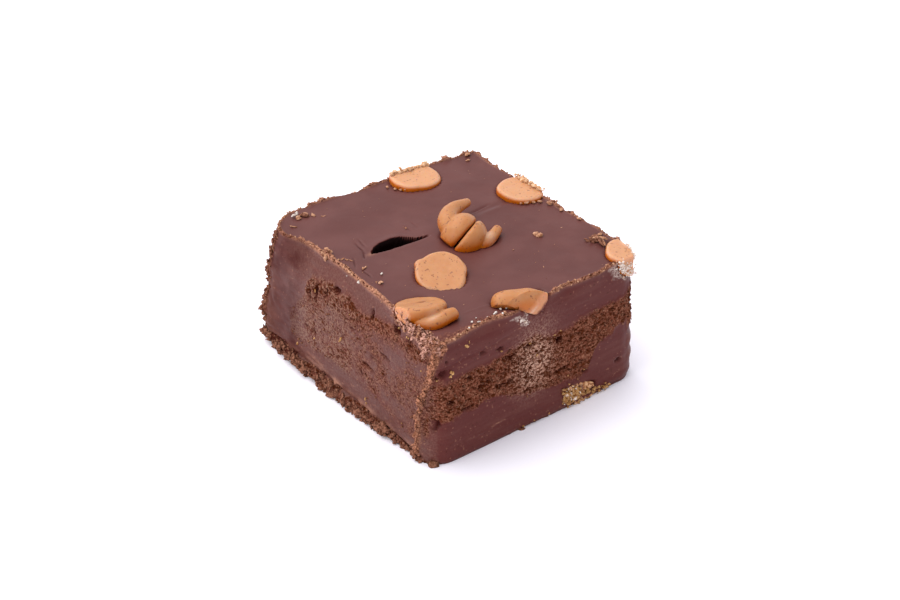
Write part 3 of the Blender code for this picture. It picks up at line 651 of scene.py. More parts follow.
def relieve_sides(points, way, side, z):
    """Relief of the sides: how far each point moves out and up, and its shades."""
    x, y = points[:, 0], points[:, 1]
    wobble = ripple(points, 2.6, 11) + 0.5 * ripple(points, 0.9, 12)
    facing = np.stack([smooth_step(0.55, 0.8, -way[:, 0]), smooth_step(0.4, 0.75, -way[:, 1]),
                       smooth_step(0.55, 0.8, way[:, 0]), smooth_step(0.55, 0.8, way[:, 1])], -1)
    facing = facing / np.maximum(facing.sum(-1, keepdims=True), 1e-6)
    ragged = 0.35 * ripple(points, 0.8, 13) + 0.3 * ripple(points, 0.45, 14)
    left = left_layers(y, z, wobble, ragged)
    front = front_layers(x, z, wobble, ragged)
    right = front_layers(1.5 - y, z, wobble, ragged)
    back = left_layers(2.0 - 0.9 * x, z, wobble, ragged)
    crumb, grey, foot, pits = (
        facing[:, 0] * left[i] + facing[:, 1] * front[i] + facing[:, 2] * right[i]
        + facing[:, 3] * back[i] for i in range(4))
    # Both rear upright corners are crumbled all the way down.
    rear = smooth_step(0.22, 0.5, np.minimum(np.abs(way[:, 0]), np.abs(way[:, 1])))
    rear_left = rear * (way[:, 0] < 0) * (way[:, 1] > 0)
    other = rear * (way[:, 0] > 0) * smooth_step(9.0, 12.0, z) * smooth_step(20.0, 17.0, z)
    rear_left = rear_left * smooth_step(24.2, 22.5, z) * smooth_step(3.0, 5.0, z)
    front_right = smooth_step(0.3, 0.6, np.minimum(way[:, 0], -way[:, 1]))
    crumb = np.maximum(crumb, np.maximum(rear_left, other * 0.8))
    # The ridge down the front left corner.
    from_ridge = y - stations(z, CORNER_RIDGE) - 0.25 * wobble
    ridge = hump(from_ridge / 0.42) * (x < -20.0) * smooth_step(0.2, 1.0, z)
    ridge = ridge * np.clip(0.85 + 0.4 * wobble, 0.3, 1.2)
    hollow = 0.45 * hump((from_ridge + 1.3) / 0.8) * (x < -19.5) * smooth_step(13.0, 9.0, z)
    hollow = hollow * smooth_step(4.0, 6.5, z)
    bare = (x < -18.5) * smooth_step(-0.2, -0.8, from_ridge) * smooth_step(9.5, 8.0, z)
    crumb = np.maximum(crumb * (1.0 - bare), 0.8 * hollow / 0.45)

    near, second = grains(points * (1.0, 1.0, 1.3), 0.55, 20)
    flat_grain = smooth_step(0.02, 0.5, second - near)
    lumps = ripple(points * (1.0, 1.0, 1.6), 1.9, 30)
    depth, rim = torn(points, crumb)
    relief = 0.09 * (flat_grain - 0.6) + 0.06 * lumps - 0.42 * depth + 0.06 * rim + 0.08
    soft = 0.06 * ripple(points, 5.0, 40) + 0.04 * ripple(points * (0.25, 0.25, 1.0), 0.7, 41)
    soft = soft + 0.012 * ripple(points * (0.12, 0.12, 1.0), 0.35, 42)
    foot_lumps = 0.5 * ripple(points, 1.6, 50) + 0.35 * ripple(points, 0.8, 51)
    foot_lumps = foot_lumps + 0.25 * (flat_grain - 0.5)
    rear_side = facing[:, 0] * smooth_step(13.0, 21.0, y)
    step_share = smooth_step(-22.0, -6.0, y)
    step_share = np.where(way[:, 0] < -0.3, np.maximum(step_share, 0.35), 0.0)
    step_share = step_share * (1.0 - 0.65 * rear_side) * (1.0 - 0.7 * rear * (way[:, 1] > 0))
    step_share = step_share + np.where(way[:, 1] > 0.5, 0.25, 0.0)
    spread = stations(z, ((0.0, 0.0), (3.0, 0.5), (6.5, 0.9), (9.0, 0.6), (12.0, 0.6),
                          (16.0, 0.5), (20.0, 0.3), (24.0, 0.0)))
    spread = spread * hump((y - 24.0) / 3.0) * smooth_step(-18.0, -21.0, x)
    patch = hump(np.hypot((x + 1.4) / 3.4, (z - 13.0) / 4.4) ** 1.5) * facing[:, 1]
    torn_edge = 0.7 * ripple(points, 1.7, 57) + 0.6 * ripple(points, 0.7, 58)
    spread = spread * (1.0 + 0.6 * torn_edge) + 0.40 * rear_left * torn_edge
    band = smooth_step(10.5, 12.0, z) * smooth_step(18.5, 17.0, z)
    spread = spread + front_right * (0.55 * band * torn_edge + 0.35 * hump((z - 7.6) / 1.2)
                                     + 0.3 * hump((z - 4.6) / 1.1) + 0.4 * hump((z - 12.4) / 0.6))
    lip = hump((z - stations(y, LEFT_FOOT_TOP) - 0.55) / 0.5) * facing[:, 0]
    groove = hump((z - stations(y, LEFT_FOOT_TOP) + 0.05) / 0.28) * facing[:, 0]
    shift = smooth_step(0.0, 0.3, crumb) * relief + (1.0 - crumb) * soft + spread
    shift = shift + foot * (1.15 * step_share - 0.1 + foot_lumps * 0.75)
    shift = shift + lip * 0.18 * (0.5 + wobble) - groove * 0.8 * np.clip(0.5 + 0.9 * wobble, 0, 1.2)
    shift = shift - pits
    shift = shift + ridge * (0.75 + 0.4 * lumps + 0.3 * (flat_grain - 0.5)) - hollow
    fade = smooth_step(HEIGHT, HEIGHT - 0.6, z)
    shift = np.where(side, shift * blend(0.3, 1.0, fade), 0.0)
    rough = np.clip(crumb + foot + ridge, 0, 1)
    # Painted shade and highlight from the relief: darker in holes, pits, gaps between foot lumps and the
    # groove over the foot, lighter on hole rims and the lip. The grain terms vary it as the crumbs' own
    # colour varies, and crumbs on the left are a little darker.
    relief_shade = 0.56 + 0.16 * (flat_grain - 0.6) + 0.06 * lumps - 0.60 * depth + 0.20 * rim
    relief_shade = blend(0.55, relief_shade, smooth_step(0.0, 0.25, rough)) - 0.6 * np.clip(pits, 0, 1)
    relief_shade = relief_shade - foot * 0.35 * smooth_step(0.3, -0.5, foot_lumps) - 0.14 * facing[:, 0] * crumb
    relief_shade = relief_shade - 0.6 * groove * np.clip(0.5 + 0.9 * wobble, 0, 1) + 0.1 * lip
    thread = hump((z - 3.2 - 0.09 * (x + 15.0) - 0.25 * wobble) / 0.11) * facing[:, 1]
    thread = thread * smooth_step(-16.0, -14.0, x) * smooth_step(-2.0, -4.0, x)
    seam = stations(y, ((-2.0, 2.5), (0.0, 2.7), (4.0, 3.1), (9.0, 4.1), (14.0, 4.7)))
    seam = hump((z - seam - 0.3 * wobble) / 0.4) * facing[:, 0] * np.clip(0.6 + wobble, 0, 1)
    seam = seam * smooth_step(16.0, 14.0, y) * smooth_step(-3.0, 0.0, y)
    crease = hump((z - 20.1 - 0.03 * x - 0.25 * wobble) / 0.16) * facing[:, 1] * smooth_step(-5, -8, x)
    shift = shift - 0.18 * crease * side + 0.10 * (thread + seam) * side
    # The burr share lightens the burr, ridge, threads, seams and lip, partly as painted highlight on their
    # raised edges.
    burr = ridge * 0.75 + lip * 0.25 * (0.4 + wobble) + 0.25 * np.clip(spread, 0, 1)
    burr = burr + 0.5 * thread * (wobble > -0.1) + 0.22 * seam + 0.30 * patch * (wobble > 0.2)
    burr = np.clip(burr + 0.12 * rim * crumb, 0, 1)
    # Painted shade darkening the rear part of the left side; deep also paints shade in the pits.
    rear_left_shade = 0.36 * facing[:, 0] * smooth_step(10.5, 15.0, y) * (0.8 + 0.4 * wobble)
    # The front share picks the shaded front copies of the side colours over the lit left ones.
    return {"shift": shift, "lift": np.zeros_like(z), "crumb": rough * side,
            "relief_shade": np.where(side, relief_shade, 0.55), "grey": np.clip(grey, 0, 1) * side,
            "burr": burr * side, "deep": np.clip(np.maximum(pits * 0.75 - 0.1, rear_left_shade), 0, 0.75) * side,
            "foot": foot * side, "ridge": ridge * side, "rear_left": rear_left * side,
            "front": (facing[:, 1] + facing[:, 2]) * side}


def relieve_top(points, way, inset, side):
    """Relief of the top and of the burr round it: how each point moves, and its shades."""
    x, y, z = points.T
    flat_top = (~side) * 1.0
    height, slits = top_height(x, y, inset, points)
    deep, dark, lip, lip_glow = crack_shape(x, y)
    under = HEIGHT - z
    burr = edge_amount(x, y, way, LEFT_BURR, FRONT_BURR, BACK_BURR, RIGHT_BURR)
    wobble = ripple(points * (1.0, 1.0, 0.0), 1.3, 60) + 0.6 * ripple(points * (1, 1, 0), 0.6, 61)
    burr = burr * np.clip(0.9 + 0.75 * wobble, 0.1, 2.0)
    rim = smooth_step(0.62, 0.12, np.maximum(inset, 0.0)) * smooth_step(0.75, 0.05, under)
    near, second = grains(points, 0.62, 64)
    broken = smooth_step(0.0, 0.5, second - near) - 0.5
    # The front left corner of the top is crumbled for a few millimetres.
    inner = stations(y, ((-24.6, -20.9), (-21.0, -20.2), (-18.0, -19.4), (-14.0, -19.0)))
    corner = smooth_step(0.6, -0.4, x - inner + 0.7 * wobble) * smooth_step(-10.5, -13.0, y)
    corner = corner * smooth_step(2.0, 1.1, under + 0.6 * wobble)
    speckled = smooth_step(-20.8, -23.0, y + 0.8 * wobble) * smooth_step(-6.5, -9.5, x) * flat_top
    crumb = np.clip(np.maximum(np.maximum(rim * 0.9, corner), 0.45 * speckled), 0, 1)
    lift = flat_top * (height - deep + lip) + rim * burr
    fibre = ripple(points * (1.0, 0.25, 1.0), 0.55, 66)
    lift = lift + crumb * 0.22 * broken + corner * (0.15 + 0.40 * wobble + 0.50 * fibre)
    out = rim * side * (0.25 + 0.3 * wobble) * np.clip(burr * 1.6, 0, 1)
    # Painted shade between the fibres of the crumbled corner, and below in the slits; the broken grains
    # lighten and darken the crumbled rim.
    relief_shade = crumb * 0.6 * broken - 0.35 * corner * smooth_step(0.1, -0.4, fibre)
    # Painted highlight along the lit left edge of the top.
    left_edge_highlight = 0.45 * smooth_step(0.5, 0.9, -way[:, 0]) * smooth_step(14.0, 10.0, y)
    return {"lift": lift, "out": out, "crumb": crumb,
            "relief_shade": relief_shade - 0.35 * flat_top * np.clip(slits * 3, 0, 1),
            # The burr share also carries the painted glow of the crack's far lip.
            "burr": np.clip(np.maximum(rim * np.clip(0.25 + 0.75 * burr + left_edge_highlight, 0, 1),
                                       corner * (0.6 + 0.6 * fibre)) + flat_top * lip_glow, 0, 1),
            # Deep is painted shade: black in the crack and dark in the slits.
            "deep": flat_top * np.maximum(dark, np.clip(slits * 1.3, 0, 0.5)),
            "corner": corner, "rim": rim}


# The chips ------------------------------------------------------------------------
def chip_profile(radius, depth, count):
    """Half outline of a chip, base up, at even steps: flat base, rounded rim, blunt body."""
    turn = np.linspace(np.pi / 2, 0.0, 16)
    rim = np.stack([radius - CHIP_RIM + CHIP_RIM * np.cos(turn), CHIP_RIM * (np.sin(turn) - 1)], -1)
    turn = np.linspace(0.0, np.pi / 2, 40)[1:]
    body = np.stack([radius * np.cos(turn) ** 0.85, -CHIP_RIM - (depth - CHIP_RIM) * np.sin(turn)], -1)
    line = np.concatenate([[(0.0, 0.0)], rim, body])
    line[-1, 0] = 0.0
    run = np.concatenate([[0.0], np.cumsum(np.linalg.norm(np.diff(line, axis=0), axis=1))])
    even = np.linspace(0.0, run[-1], count)
    return np.stack([np.interp(even, run, line[:, 0]), np.interp(even, run, line[:, 1])], -1)


def turned_points(profile, around):
    """A half outline carried round the upright axis: end point, rings, end point."""
    turn = np.linspace(0.0, 2 * np.pi, around, endpoint=False)
    radius, height = profile[1:-1, 0][:, None], profile[1:-1, 1][:, None]
    rings = np.stack([radius * np.cos(turn), radius * np.sin(turn),
                      np.broadcast_to(height, (len(profile) - 2, around))], -1)
    ends = [[0.0, 0.0, profile[0, 1]]], [[0.0, 0.0, profile[-1, 1]]]
    return np.concatenate([ends[0], rings.reshape(-1, 3), ends[1]])


def turn_to(way):
    """The turn that carries the down way to the given way."""
    spin = Vector((0.0, 0.0, -1.0)).rotation_difference(Vector(way).normalized())
    return np.array(spin.to_matrix())


def cut_flat(points, planes):
    """Press the points beyond each knife plane back onto it; gives them and how near they lie."""
    cut = np.zeros(len(points))
    for point, way in planes:
        normal = np.array(way) / np.linalg.norm(way)
        beyond = (points - point) @ normal
        cut = np.maximum(cut, smooth_step(-0.25, 0.0, beyond))
        points = points - np.maximum(beyond, 0.0)[:, None] * normal
    return points, cut


def make_flat_chip(name):
    """A chip pressed in base up: a turned outline with uneven rim and nubs, then cut and tilted."""
    centre, height, share, tilt_x, tilt_y, pale = FLAT_CHIPS[name]
    around, count = 132, 84
    points = turned_points(chip_profile(CHIP_RADIUS * share, CHIP_DEPTH, count), around)
    turn = np.degrees(np.arctan2(points[:, 1], points[:, 0]))
    reach = np.hypot(points[:, 0], points[:, 1]) / (CHIP_RADIUS * share)
    seed = sum(map(ord, name)) % 97
    growth = stations(turn, OUTLINES[name]) + 0.10 * ripple(points * (1, 1, 0.3), 1.7, seed)
    points[:, :2] *= (1.0 + growth * smooth_step(0.2, 1.0, reach) / CHIP_RADIUS)[:, None]
    face = smooth_step(0.3, 0.0, -points[:, 2]) * (points[:, 2] > -0.5)
    dish = -0.10 * hump(reach / 0.6) + 0.05 * ripple(points, 1.8, seed + 1)
    points[:, 2] += face * dish + 0.03 * ripple(points, 0.9, seed + 2)
    under = -points[:, 2]
    points = points @ np.array(Matrix.Rotation(math.radians(tilt_x), 3, "X")).T
    points = points @ np.array(Matrix.Rotation(math.radians(tilt_y), 3, "Y")).T
    points = points + (*centre, HEIGHT + height)
    points, cut = cut_flat(points, KNIVES.get(name, ()))
    # Wall is painted shade on the chip's side below its base.
    wall = smooth_step(0.10, 0.55, under) * (1.0 - cut)
    # Painted rim highlight: a thin pale band just under each flat chip's rim, stored with the film.
    edge = 0.15 * hump((under - 0.12) / 0.22) * smooth_step(0.8, 0.95, reach)
    if name == "chip_corner":
        edge = edge + 0.7 * smooth_step(21.3, 22.5, points[:, 0] + 0.4 * ripple(points, 1.0, 7))
    thing = put_mesh(name + "_body", points, tube_faces(count - 2, around),
                     {"cut": cut, "wall": wall, "smear": edge,
                      "pale": np.full(len(points), pale), "pit": cut * 0.0})
    outward_mesh(thing)
    return thing


def tail_points(places, radii, rings, around):
    """A tapered tube along a smooth curve through the stations, with a round tip."""
    places, radii = np.asarray(places, float), np.asarray(radii, float)
    share = np.sin(0.5 * np.pi * np.linspace(0.0, 1.0, rings))
    centre = through(places, share)
    radius = through(radii[:, None], share)[:, 0]
    tip = np.sqrt(np.maximum(1.0 - np.maximum((share - 0.9) / 0.1005, 0.0) ** 2, 0.0004))
    ahead = np.gradient(centre, axis=0)
    ahead /= np.linalg.norm(ahead, axis=1, keepdims=True)
    side = np.cross(ahead, (0.05, 0.02, 1.0))
    side /= np.linalg.norm(side, axis=1, keepdims=True)
    up = np.cross(side, ahead)
    turn = np.linspace(0.0, 2 * np.pi, around, endpoint=False)[None, :, None]
    ring = centre[:, None] + (radius * tip)[:, None, None] * (
        side[:, None] * np.cos(turn) + up[:, None] * np.sin(turn))
    return np.concatenate([centre[:1], ring.reshape(-1, 3), centre[-1:]])


def through(values, share):
    """Read a smooth curve through evenly spaced values, at shares from 0 to 1 of its run."""
    last = len(values) - 1
    position = share * last
    start = np.clip(position.astype(int), 0, last - 1)
    step = (position - start)[:, None]
    before, first = values[np.maximum(start - 1, 0)], values[start]
    second, after = values[start + 1], values[np.minimum(start + 2, last)]
    return 0.5 * (2 * first + (second - before) * step
                  + (2 * before - 5 * first + 4 * second - after) * step ** 2
                  + (3 * first - before - 3 * second + after) * step ** 3)


def melt_together(name, shells, voxel, rounds):
    """Fuse closed shells into one skin of even small faces, and let the joins flow smooth."""
    points = np.concatenate([shell[0] for shell in shells])
    start, faces = 0, []
    for shell_points, shell_faces in shells:
        faces += [[corner + start for corner in face] for face in shell_faces]
        start += len(shell_points)
    rough = put_mesh(name + "_rough", points, faces)
    outward_mesh(rough)
    skin = rough.modifiers.new("skin", "REMESH")
    skin.mode = "VOXEL"
    skin.voxel_size = voxel * MM
    skin.use_smooth_shade = True
    flow = rough.modifiers.new("flow", "SMOOTH")
    flow.factor = 0.5
    flow.iterations = rounds
    bpy.context.view_layer.update()
    melted = rough.evaluated_get(bpy.context.evaluated_depsgraph_get())
    mesh = bpy.data.meshes.new_from_object(melted)
    bpy.data.objects.remove(rough, do_unlink=True)
    mesh.name = name
    mesh.shade_smooth()
    thing = bpy.data.objects.new(name, mesh)
    bpy.context.scene.collection.objects.link(thing)
    return thing


def make_curled_chip(name):
    """A chip on its side: a turned body and its curled tail fused into one skin, then cut."""
    middle, into, radius, depth, stops = CURLED_CHIPS[name]
    body = turned_points(chip_profile(radius, depth, 48), 72) @ turn_to(into).T
    base_middle = np.array(middle) + (0.0, 0.0, HEIGHT)
    body = body + base_middle
    stops = np.array(stops)
    tail = tail_points(stops[:, :3] + (0.0, 0.0, HEIGHT), stops[:, 3], 48, 40)
    thing = melt_together(name + "_body", ((body, tube_faces(46, 72)), (tail, tube_faces(48, 40))),
                          0.11, 9)
    points, normals = get_points(thing)
    seed = sum(map(ord, name)) % 89
    relief = 0.07 * ripple(points, 2.2, seed) + 0.025 * ripple(points, 0.9, seed + 1)
    points = points + normals * relief[:, None]
    way = np.array(into) / np.linalg.norm(into)
    from_base = (points - base_middle) @ way
    across = np.linalg.norm(points - base_middle - from_base[:, None] * way, axis=1)
    base = smooth_step(0.35, 0.05, from_base) * (across < radius)
    if name in SQUEEZES:
        point, out = SQUEEZES[name]
        out = np.array(out) / np.linalg.norm(out)
        beyond = np.maximum((points - point) @ out, 0.0)
        points = points - np.outer(beyond * 0.8, out)
    points, smear, pit, stain = shape_curl(name, points, base)
    points, cut = cut_flat(points, KNIVES.get(name, ()))
    # Wall is painted shade: darker, warmer orange on faces turned down and low near the fudge.
    wall = 0.65 * smooth_step(0.75, -0.2, normals[:, 2])
    wall = wall + 0.6 * smooth_step(1.5, 0.0, points[:, 2] - HEIGHT)
    if name == "chip_front_left":
        wall = wall * (1.0 - base)
    if name == "chip_front_edge":
        wall = wall * 0.55
    set_points(thing, points)
    # Pale is painted light, low for the curled chips.
    put_shades(thing.data, {"cut": cut, "wall": np.clip(wall, 0, 1), "smear": smear,
                            "pale": np.full(len(points), 0.2), "pit": pit, "stain": stain})
    return thing


def shape_curl(name, points, base):
    """Give each curl its own marks: the dimple in a base, and where melted film lies."""
    x, y, z = points.T
    smear, pit, stain = np.zeros((3, len(points)))
    if name == "chip_curl_right":
        smear = 0.35 * hump(np.hypot((x - 4.9) / 0.9, (y + 5.3) / 1.0))
    if name == "chip_front_left":
        pit = hump(np.hypot((x + 16.3) / 0.85, (y + 13.9) / 0.40)) * base
        points = points - np.outer(0.3 * pit, (0.0, 0.3, 0.95))
        smear = hump(np.hypot((x + 18.0) / 1.1, (y + 19.0) / 0.6)) * 0.35
    if name == "chip_front_edge":
        smear = hump(np.hypot((x + 3.6) / 0.9, (y + 24.0) / 0.8)) * smooth_step(23.6, 22.2, z)
        ragged = 0.3 * ripple(points, 1.0, 9)
        border = 21.7 + 0.60 * (x + 3.5) + ragged
        lean = -24.4 + 0.28 * np.maximum(z - border, 0.0)
        points[:, 1] = np.where(z > border, np.maximum(y, lean), y)
        beyond = 20.7 + 0.62 * (x + 2.8) + ragged - z
        stain = smooth_step(-0.7, 0.3, beyond) * smooth_step(-23.0, -23.9, y)
        points[:, 1] += 1.2 * smooth_step(0.0, 0.6, beyond)
        film = hump((z - border) / 0.3) * smooth_step(-23.4, -24.0, y) * smooth_step(0.5, -3.5, x)
        smear = np.maximum(smear, 0.9 * film)
    return points, smear, pit, stain


def make_foot_chip(name):
    """The crushed chip low in the front: an egg shape broken by ripples and grains, then cut."""
    around, rings = 150, 90
    turn = np.linspace(0.0, 2 * np.pi, around, endpoint=False)
    rise = np.linspace(0.0, np.pi, rings + 2)[1:-1, None]
    ring = np.stack([np.cos(rise) + 0 * turn, np.sin(rise) * np.cos(turn),
                     np.sin(rise) * np.sin(turn)], -1).reshape(-1, 3)
    egg = np.concatenate([[(1.0, 0.0, 0.0)], ring, [(-1.0, 0.0, 0.0)]])
    lump = 1.0 + 0.25 * ripple(egg, 0.7, 5) + 0.14 * ripple(egg, 0.3, 6)
    points = egg * lump[:, None] * FOOT_CHIP_SIZE
    points[:, 2] = points[:, 2] * (1.0 - 0.60 * egg[:, 0]) - 0.95 * (egg[:, 0] + 0.35)
    points = points + FOOT_CHIP_MIDDLE
    points, cut = cut_flat(points, KNIVES[name])
    near, second = grains(points, 0.9, 70)
    tiny_near, tiny_second = grains(points, 0.42, 75)
    broken = smooth_step(0.0, 0.5, second - near)
    relief = 0.40 * (broken - 0.6) + 0.3 * ripple(points, 1.5, 73)
    relief = relief + 0.15 * (smooth_step(0.0, 0.5, tiny_second - tiny_near) - 0.5)
    points[:, 1] -= cut * relief
    points[:, 2] = np.maximum(points[:, 2], 0.05)
    # Painted relief shade: darker in the low places of the broken surface, lighter on its peaks.
    relief_shade = 0.66 + 1.2 * relief
    thing = put_mesh(name + "_body", points, tube_faces(rings, around),
                     {"cut": cut, "relief_shade": relief_shade})
    outward_mesh(thing)
    return thing


# Crumbs ---------------------------------------------------------------------------
def lump_shape(around, rings):
    """A small ball as points and faces: two ends and rings between."""
    turn = np.linspace(0.0, 2 * np.pi, around, endpoint=False)
    rise = np.linspace(0.0, np.pi, rings + 2)[1:-1, None]
    ring = np.stack([np.sin(rise) * np.cos(turn), np.sin(rise) * np.sin(turn),
                     np.cos(rise) + 0 * turn], -1)
    points = np.concatenate([[(0, 0, 1.0)], ring.reshape(-1, 3), [(0, 0, -1.0)]])
    return points, tube_faces(rings, around)


def scatter(name, places, sizes, seed, turns=None, around=7, rings=4, rough=0.45):
    """Many small lumps in one mesh: each a ball swollen by its own ripple, stretched and turned.

    With turns given, in degrees, each lies flat and is turned about the upright only.
    """
    random = np.random.default_rng(seed)
    ball, faces = lump_shape(around, rings)
    places, sizes = np.asarray(places, float), np.asarray(sizes, float)
    if sizes.ndim == 1:
        sizes = sizes[:, None] * random.uniform(0.6, 1.25, (len(sizes), 3))
    spin = random.normal(size=(len(places), 4))
    if turns is not None:
        half = np.radians(np.asarray(turns, float)) / 2
        spin = np.stack([np.cos(half), 0.12 * spin[:, 1], 0.12 * spin[:, 2], np.sin(half)], -1)
    spin /= np.linalg.norm(spin, axis=1, keepdims=True)
    w, i, j, k = spin.T
    turn = np.stack([np.stack([1 - 2 * (j * j + k * k), 2 * (i * j - k * w), 2 * (i * k + j * w)], -1),
                     np.stack([2 * (i * j + k * w), 1 - 2 * (i * i + k * k), 2 * (j * k - i * w)], -1),
                     np.stack([2 * (i * k - j * w), 2 * (j * k + i * w), 1 - 2 * (i * i + j * j)], -1)], 1)
    offset = np.arange(len(places))[:, None, None] * (7.3, 3.1, 5.7)
    swell = 1.0 + rough * ripple(ball[None] * 1.3 + offset, 1.0, seed)
    points = ball[None] * swell[..., None] * sizes[:, None, :]
    points = np.einsum("nab,nvb->nva", turn, points) + places[:, None, :]
    all_faces = []
    for face_size in (3, 4):
        group = np.array([face for face in faces if len(face) == face_size])
        stepped = group[None] + (np.arange(len(places)) * len(ball))[:, None, None]
        all_faces += stepped.reshape(-1, face_size).tolist()
    points = points.reshape(-1, 3)
    points[:, 2] = np.maximum(points[:, 2], 0.0)
    return put_mesh(name, points, all_faces)


# Loose bits on the top: (x, y, height over the top, length, width, turn in degrees).
TAN_BITS = (
    (-18.7, 6.05, 0.15, 0.55, 0.16, 15), (-18.0, 5.8, 0.18, 0.5, 0.15, -20),
    (-17.5, 5.2, 0.16, 0.5, 0.14, -45), (-17.1, 4.5, 0.12, 0.45, 0.12, -60),
    (-17.0, 1.15, 0.25, 0.5, 0.25, 20), (-16.5, 1.35, 0.2, 0.3, 0.2, 0),
    (-19.5, 1.7, 0.2, 0.5, 0.3, 80), (-19.6, 0.9, 0.2, 0.3, 0.25, 80),
    (-17.55, -4.0, 0.25, 0.45, 0.38, 40), (-17.8, -3.5, 0.15, 0.3, 0.15, 80),
    (13.0, -8.7, -0.02, 0.9, 0.85, 0), (6.5, -9.7, 0.03, 0.16, 0.12, 0),
    (17.6, -9.3, 0.03, 0.16, 0.12, 0), (10.8, -2.2, 0.03, 0.14, 0.1, 0),
    (-3.4, 7.3, 0.05, 0.22, 0.16, 60), (7.0, -17.0, 0.0, 0.3, 0.12, 60),
    (-14.6, 21.6, 0.2, 0.9, 0.4, -40), (-13.6, 20.5, 0.2, 0.7, 0.3, -70),
    (-16.2, 21.3, 0.25, 0.7, 0.4, 30), (-18.4, 19.7, 0.1, 1.0, 0.14, -50),
    (-12.3, 19.3, 0.08, 0.7, 0.1, -20), (21.0, 20.6, 0.3, 0.9, 0.4, 15),
    (19.8, 19.1, 0.15, 0.55, 0.2, -10), (21.0, -2.0, 0.3, 0.6, 0.35, -60),
    (21.4, -5.0, 0.25, 0.5, 0.3, 60), (21.7, -9.0, 0.2, 0.7, 0.3, 85),
    (19.6, -15.6, 0.3, 0.9, 0.25, -20), (20.4, -16.8, 0.5, 1.1, 0.3, -70),
    (19.6, -17.9, 0.4, 1.0, 0.25, 60), (21.0, -15.3, 0.3, 0.8, 0.35, 10),
    (3.7, 18.2, 0.2, 0.35, 0.25, 0), (4.4, 17.6, 0.25, 0.4, 0.3, 40),
    (3.1, 19.0, 0.2, 0.3, 0.25, 10), (2.4, 20.4, 0.2, 0.5, 0.25, 70),
    (17.3, 1.1, 0.2, 0.35, 0.25, 0), (18.1, 0.5, 0.25, 0.45, 0.3, -30),
    (19.3, 0.1, 0.2, 0.4, 0.3, 30), (20.4, -0.5, 0.2, 0.6, 0.3, -30),
)
WHITE_BITS = (
    (-20.2, -1.8, 0.25, 0.4, 0.2, 60), (-15.7, -2.0, 0.2, 0.3, 0.25, 30),
    (-20.6, 1.0, 0.2, 0.12, 0.1, 0), (-16.3, 22.3, 0.45, 0.8, 0.3, 10),
    (-15.6, 22.7, 0.4, 0.4, 0.2, 40),
    (-13.0, -22.6, 0.3, 0.3, 0.2, 30), (-12.2, -23.4, 0.4, 0.35, 0.15, -40),
    (-8.4, -22.9, 0.3, 0.4, 0.25, 0), (-7.6, -23.8, 0.3, 0.35, 0.2, 60),
    (-14.6, -23.9, 0.5, 0.3, 0.15, 50), (-6.4, -21.8, 0.1, 0.3, 0.15, 60),
    (-5.8, -22.6, 0.0, 0.25, 0.15, 20), (-6.9, -22.4, 0.1, 0.25, 0.2, 80),
    (-10.0, -22.9, 0.15, 0.15, 0.12, 0), (-11.6, -21.9, 0.1, 0.14, 0.1, 0),
)


def bits(name, listed, seed):
    """The listed loose bits, each of two or three overlapping lumps."""
    random = np.random.default_rng(seed)
    rows = np.repeat(np.array(listed), 3, axis=0)
    places = rows[:, :3] + (0.0, 0.0, HEIGHT)
    places = places + random.normal(size=places.shape) * 0.3 * rows[:, 4:5] * (1, 1, 0.4)
    sizes = np.stack([rows[:, 3] * 0.8, rows[:, 4] * 0.8, rows[:, 4] * 0.55], -1)
    sizes = np.maximum(sizes * random.uniform(0.7, 1.1, sizes.shape), 0.02)
    turns = rows[:, 5] + random.normal(size=len(rows)) * 12.0
    return scatter(name, places, sizes, seed, turns, 9, 5)


# Bits stuck in the sides: side, place along, height, length, width.
SIDE_BITS = (
    ("left", -13.4, 21.9, 0.55, 0.4), ("left", -14.3, 21.6, 0.4, 0.3), ("left", -16.9, 22.1, 0.4, 0.55),
    ("left", -6.0, 4.3, 0.35, 0.5), ("left", -6.1, 3.4, 0.25, 0.3), ("left", 0.9, 12.5, 0.45, 0.6),
    ("left", 1.5, 12.1, 0.3, 0.3), ("left", -21.4, 18.5, 0.25, 0.2), ("left", -1.5, 18.6, 0.2, 0.2),
    ("left", 8.9, 8.6, 0.3, 0.2), ("left", -15.6, 4.6, 0.25, 0.3), ("left", 14.2, 4.7, 0.4, 0.25),
    ("front", -15.6, 21.9, 0.6, 0.5), ("front", -14.9, 22.2, 0.25, 0.2),
    ("front", -18.7, 18.5, 0.5, 0.7), ("front", -19.1, 17.5, 0.4, 0.4), ("front", -21.7, 18.1, 0.2, 0.6),
    ("front", -21.3, 17.3, 0.3, 0.2), ("front", -8.1, 18.0, 0.4, 0.25), ("front", -2.0, 16.8, 0.5, 0.22),
    ("front", -0.8, 13.9, 0.35, 0.2), ("front", 3.1, 16.2, 0.4, 0.2), ("front", 4.6, 16.4, 0.35, 0.25),
    ("front", 9.8, 6.4, 0.3, 0.25), ("front", 6.3, 6.6, 0.3, 0.3), ("front", -3.6, 0.6, 0.4, 0.2),
    ("front", -1.0, 0.7, 0.3, 0.2), ("front", 2.2, 0.7, 0.35, 0.2),
)
# Brown flakes curled up by the corner chip, and at the rear left edge.
BROWN_FLAKES = (
    (18.9, -16.3, 0.25, 1.3, 0.5, -55), (19.4, -17.2, 0.5, 1.5, 0.45, -75),
    (18.3, -15.6, 0.1, 0.9, 0.3, -20), (19.9, -15.2, 0.35, 1.0, 0.4, 20),
    (-19.8, 8.4, 0.45, 0.9, 0.45, 40), (-19.2, 9.0, 0.5, 0.7, 0.4, 80), (-14.9, 21.4, 0.3, 1.2, 0.45, -40),
)


